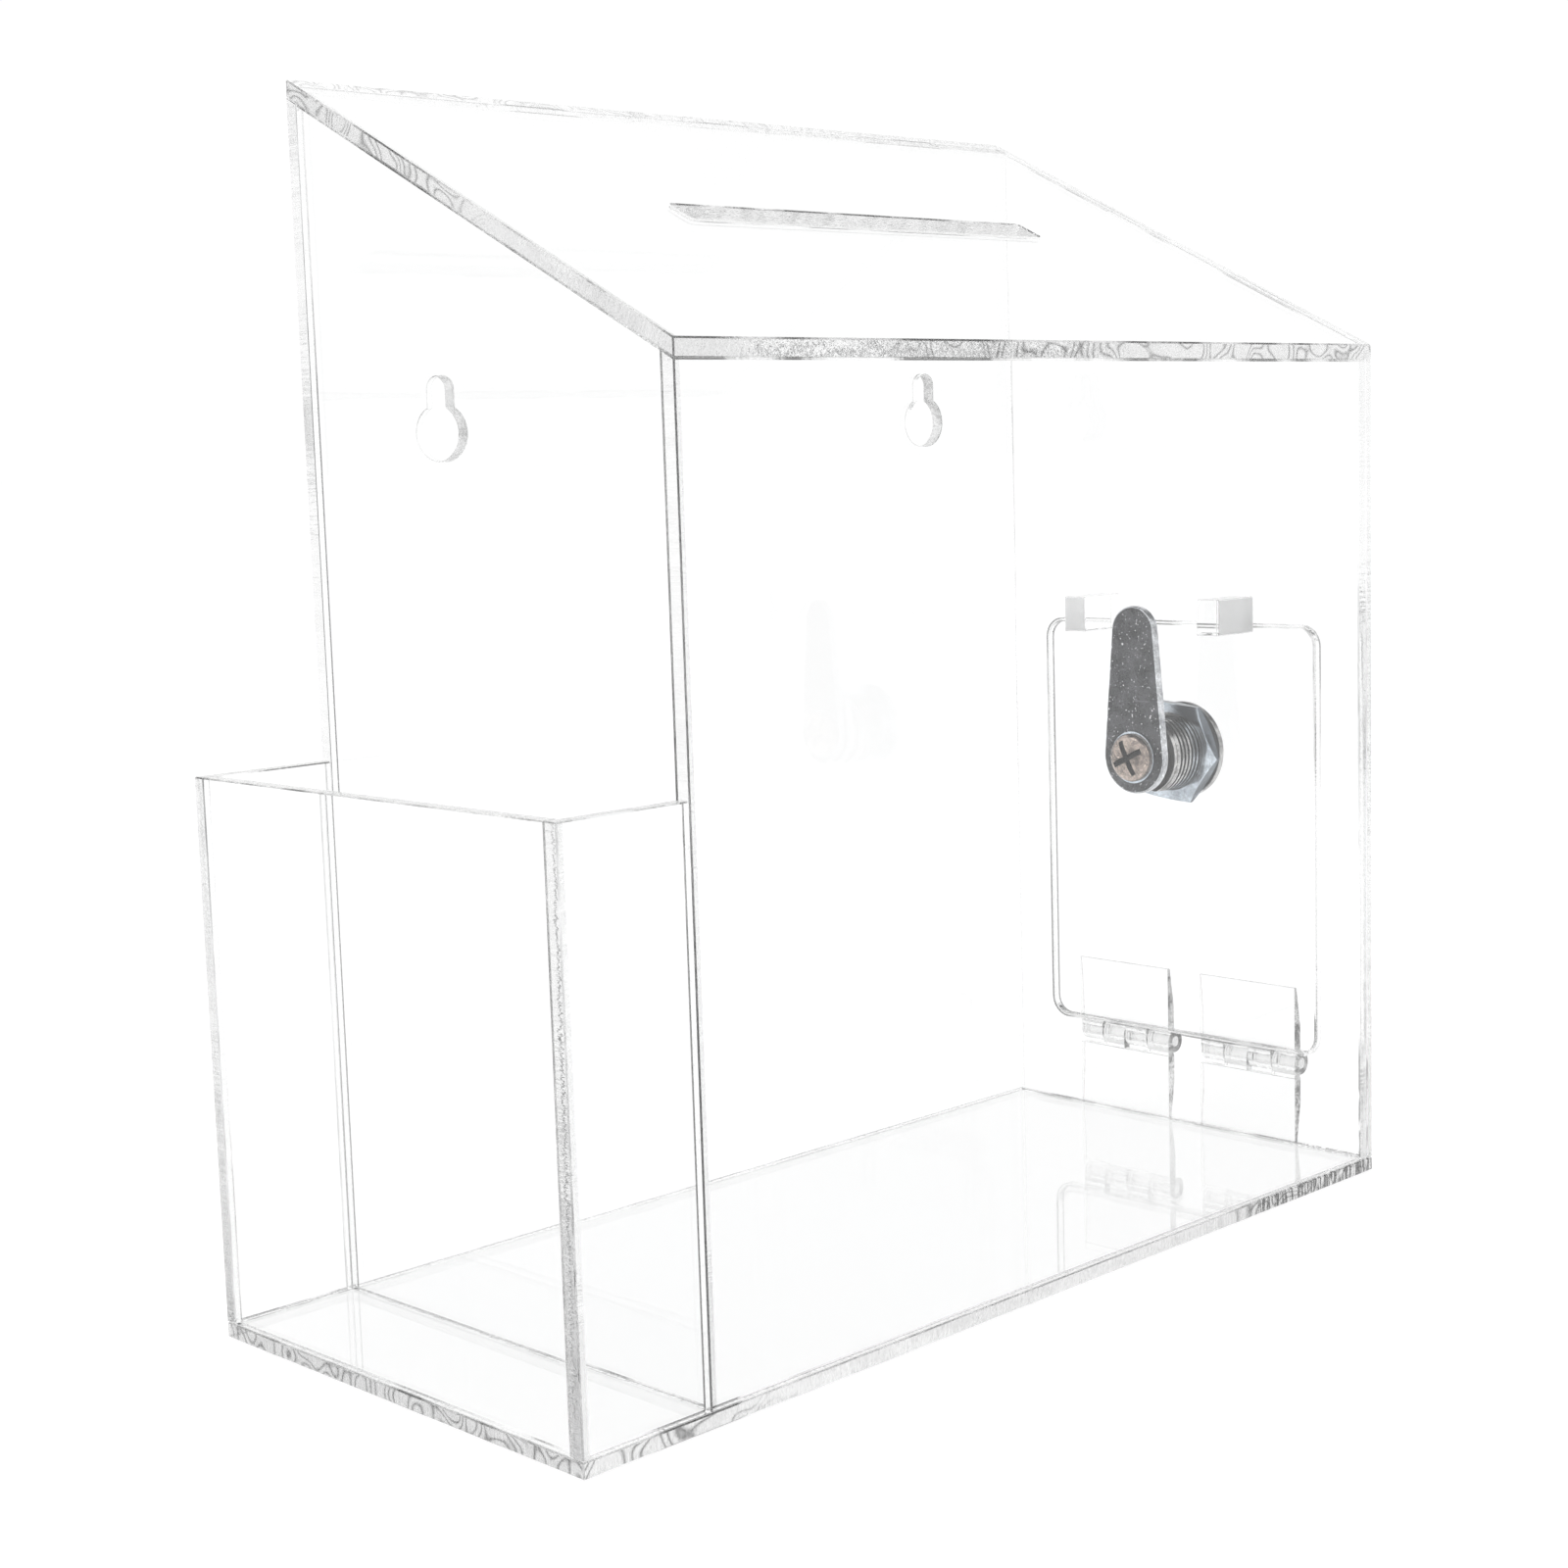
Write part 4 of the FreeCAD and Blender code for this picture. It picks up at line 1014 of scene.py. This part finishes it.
    def build_nut(self) -> None:
        """Hexagonal nut: a round blank pushed out to six flats, with its corners chamfered."""
        a, b, _ = self.span("lock_nut")
        crown = self.nut_blank - self.nut_crown
        bm = lathe([(a, self.barrel), (b, self.barrel), (b, crown), (b, self.nut_blank),
                    (a, self.nut_blank), (a, crown)], self.centre, 120)
        middle = self.centre.x + (a + b) / 2
        for vertex in bm.verts:
            y, z = (vertex.co - self.centre).yz
            radius = math.hypot(y, z)
            if radius < (crown + self.nut_blank) / 2:
                continue
            turn = math.degrees(math.atan2(z, y)) - self.nut_turn
            reach = self.nut_flats / math.cos(math.radians((turn + 180) % 60 - 30))
            vertex.co.yz = self.centre.y + y * reach / radius, self.centre.z + z * reach / radius
            drop = (reach - crown) * math.tan(math.radians(self.nut_slope))
            if drop > 0:
                vertex.co.x += drop if vertex.co.x < middle else -drop
        bm.normal_update()
        # The six flats take the darker zinc as painted shade.
        for face in bm.faces:
            face.material_index = 1 if abs(face.normal.x) < HARDLY else 0
        dress("lock_hex_nut", bm, "door", ["lock_nut"],
              [self.finishes.zinc, self.finishes.zinc_shaded], smooth=True)

    def build_cam(self) -> None:
        """The cam: a plate round the hub and the tip, its rims rounded by the press."""
        low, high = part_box("cam")
        tilt = math.asin((self.cam_hub - self.cam_tip) / self.cam_reach)
        lean = math.degrees(tilt)
        x, y = self.cam_hub * math.cos(tilt), self.cam_hub * math.sin(tilt)
        tip = (self.cam_tip * math.cos(tilt), self.cam_reach + self.cam_tip * math.sin(tilt))
        outline = Outline().path((x, y), tip, Turn((0, self.cam_reach), 180 - 2 * lean), (-x, y),
                                 Turn((0, 0), 180 + 2 * lean))
        hole = self.cam_hole
        outline.corners([(-hole, -hole), (hole, -hole), (hole, hole), (-hole, hole)])
        bm = outline.plate(high.x - low.x)
        place = Facing.ACROSS.matrix((low.x, self.centre.y, self.centre.z))
        bmesh.ops.transform(bm, matrix=place, verts=bm.verts[:])
        close(bm)
        bm.normal_update()
        # The rims and their rounding take slot 1, painted bright as a highlight.
        for face in bm.faces:
            face.material_index = 0 if abs(face.normal.x) > MOSTLY else 1
        round_edges(bm, self.cam_rounding, 3, slot=1)
        dress("lock_cam_plate", bm, "lock_core", ["cam"],
              [self.finishes.steel, self.finishes.wear_and_highlight], smooth=True)

    def build_washer(self) -> None:
        """Thin plated washer under the screw."""
        a, b, radius = self.span("cam_washer")
        bm = lathe([(a, self.washer_bore), (b, self.washer_bore), (b, radius), (a, radius)],
                   self.centre)
        round_edges(bm, self.washer_rounding, 2)
        dress("lock_cam_washer", bm, "lock_core", ["cam_washer"],
              [self.finishes.zinc], smooth=True)

    def build_screw(self) -> None:
        """Pan-head screw with a tapered cross recess."""
        a, end, radius = self.span("cam_screw")
        b = self.span("cam_washer")[0]
        dome = [(a + depth * MM, share * radius) for depth, share in self.screw_dome]
        edge, shank = self.screw_break, self.screw_shank
        profile = [(a, self.pivot), *dome, (b - edge, radius), (b, radius - edge), (b, shank),
                   (end, shank), (end, self.pivot)]
        bm = lathe(profile, self.centre, 64)
        bmesh.ops.dissolve_degenerate(bm, dist=2 * self.pivot, edges=bm.edges[:])
        poles = [v for v in bm.verts if (v.co - self.centre).yz.length < 5 * self.pivot]
        bmesh.ops.remove_doubles(bm, verts=poles, dist=10 * self.pivot)
        close(bm)
        piece = dress("lock_cam_screw", bm, "lock_core", ["cam_screw"],
                      [self.finishes.screw, self.finishes.painted_shade], smooth=True)
        carve(piece, self.cross_cutter(self.centre + Vector((a, 0, 0))))

    def cross_cutter(self, spot: Vector) -> BMesh:
        """A tapered cross that the recess is carved with."""
        bm = bmesh.new()
        for turn in (0, 90):
            arm = bmesh.ops.create_cone(bm, cap_ends=True, segments=4, radius1=1.0,
                                        radius2=self.cross_taper, depth=1,
                                        matrix=Matrix.Rotation(math.radians(45), 4, "Z"))["verts"]
            place = (Matrix.Translation(spot + Vector((self.cross_sink, 0, 0)))
                     @ Matrix.Rotation(math.radians(self.screw_turn + turn), 4, "X")
                     @ Matrix.Rotation(math.radians(90), 4, "Y")
                     @ Matrix.Diagonal((*self.cross_size, 1)))
            bmesh.ops.transform(bm, matrix=place, verts=arm)
        bmesh.ops.recalc_face_normals(bm, faces=bm.faces[:])
        # The recess's walls take slot 1, the dark nickel: painted shade inside the cross.
        for face in bm.faces:
            face.material_index = 1
        return bm


# ---- studio


@dataclass(frozen=True)
class Softbox:
    """A round area light that looks at the lock."""

    place: Triple
    size: float
    power: float


@dataclass
class Studio:
    """A pale floor in an even white room, grey overhead, with a grey flag high at the right."""

    eye: Triple = (-0.3619, -0.3541, 0.1617)
    yaw: float = 0.776665
    pitch: float = -0.129755
    roll: float = -0.031275
    lens: float = 58.76
    sensor: float = 36.0
    sight: Point = (0.01, 50.0)
    floor_drop: float = 0.3 * MM
    floor_radius: float = 40.0
    floor_shade: float = 0.3
    floor_glow: float = 0.9
    bounces: int = 160
    white: float = 1.02
    shade: Triple = (0.06, 0.062, 0.065)
    overhead: Stops = ((0.68, 0.0), (0.82, 1.0))
    flag: Triple = (0.69, -0.13, 0.7)
    flag_reach: Stops = ((0.9, 0.0), (0.97, 1.0))
    boxes: tuple[Softbox, ...] = (Softbox((-0.6, 0.3, 1.05), 0.5, 1.2),)

    def build(self) -> None:
        """Makes the floor, the light and the camera."""
        self.build_floor()
        self.light_room()
        self.hang_boxes()
        self.aim()
        bpy.context.scene.view_settings.view_transform = "Standard"
        for limit in ("max_bounces", "transmission_bounces", "glossy_bounces"):
            setattr(bpy.context.scene.cycles, limit, self.bounces)

    def build_floor(self) -> None:
        """A wide round floor just under the base."""
        bm = bmesh.new()
        bmesh.ops.create_circle(bm, cap_ends=True, segments=96, radius=self.floor_radius,
                                matrix=Matrix.Translation((0, 0, -self.floor_drop)))
        floor = show("floor", bm)
        floor.data.materials.append(Shader.paint("floor_white").surface(
            Base_Color=(*grey(self.floor_shade), 1), Roughness=1.0, Specular_IOR_Level=0.0,
            Emission_Color=(*grey(1.0), 1), Emission_Strength=self.floor_glow))

    def light_room(self) -> None:
        """White all round, falling to grey high overhead and behind the flag."""
        world = bpy.data.worlds.new("studio")
        bpy.context.scene.world = world
        shader = Shader(world)
        way = shader.add("ShaderNodeTexCoord", {}, out="Generated")
        height, aside = (
            shader.add("ShaderNodeVectorMath", {0: way, 1: tuple(Vector(axis).normalized())},
                       out="Value", operation="DOT_PRODUCT") for axis in ((0, 0, 1), self.flag))
        dark = shader.ramp(height, *self.overhead) + shader.ramp(aside, *self.flag_reach)
        colour = shader.tint(dark, grey(self.white), self.shade)
        light = shader.add("ShaderNodeBackground", {"Color": colour, "Strength": 1.0})
        shader.add("ShaderNodeOutputWorld", {0: light})

    def hang_boxes(self) -> None:
        """Hangs the softboxes, unseen by the camera."""
        for number, box in enumerate(self.boxes):
            data = bpy.data.lights.new(f"softbox_{number}", "AREA")
            data.shape, data.size, data.energy = "DISK", box.size, box.power
            lamp = link(data.name, data)
            lamp.visible_camera = False
            place = Vector(box.place)
            turn = (place - lock_centre()).to_track_quat("Z", "Y").to_matrix().to_4x4()
            lamp.matrix_world = Matrix.Translation(place) @ turn

    def axes(self) -> tuple[Vector, Vector, Vector]:
        """Right, up and forward of the camera."""
        level = math.cos(self.pitch)
        forward = Vector((math.sin(self.yaw) * level, math.cos(self.yaw) * level,
                          math.sin(self.pitch)))
        right = Vector((math.cos(self.yaw), -math.sin(self.yaw), 0))
        up = right.cross(forward)
        c, s = math.cos(self.roll), math.sin(self.roll)
        return c * right + s * up, c * up - s * right, forward

    def aim(self) -> None:
        """Puts the camera at its place."""
        right, up, forward = self.axes()
        data = bpy.data.cameras.new("camera")
        data.sensor_width, data.lens = self.sensor, self.lens
        data.clip_start, data.clip_end = self.sight
        camera = link("camera", data)
        turn = Matrix([right, up, -forward]).transposed().to_4x4()
        camera.matrix_world = Matrix.Translation(Vector(self.eye)) @ turn
        bpy.context.scene.camera = camera


def main() -> None:
    """Builds the box piece by piece."""
    logging.basicConfig(level=logging.INFO, format="%(message)s")
    Studio().build()
    box = AcrylicBox()
    box.build()
    DoorStops(box.finishes).build()
    Hinges(box.finishes).build()
    CamLock(box.finishes).build()


if __name__ == "__main__":
    main()
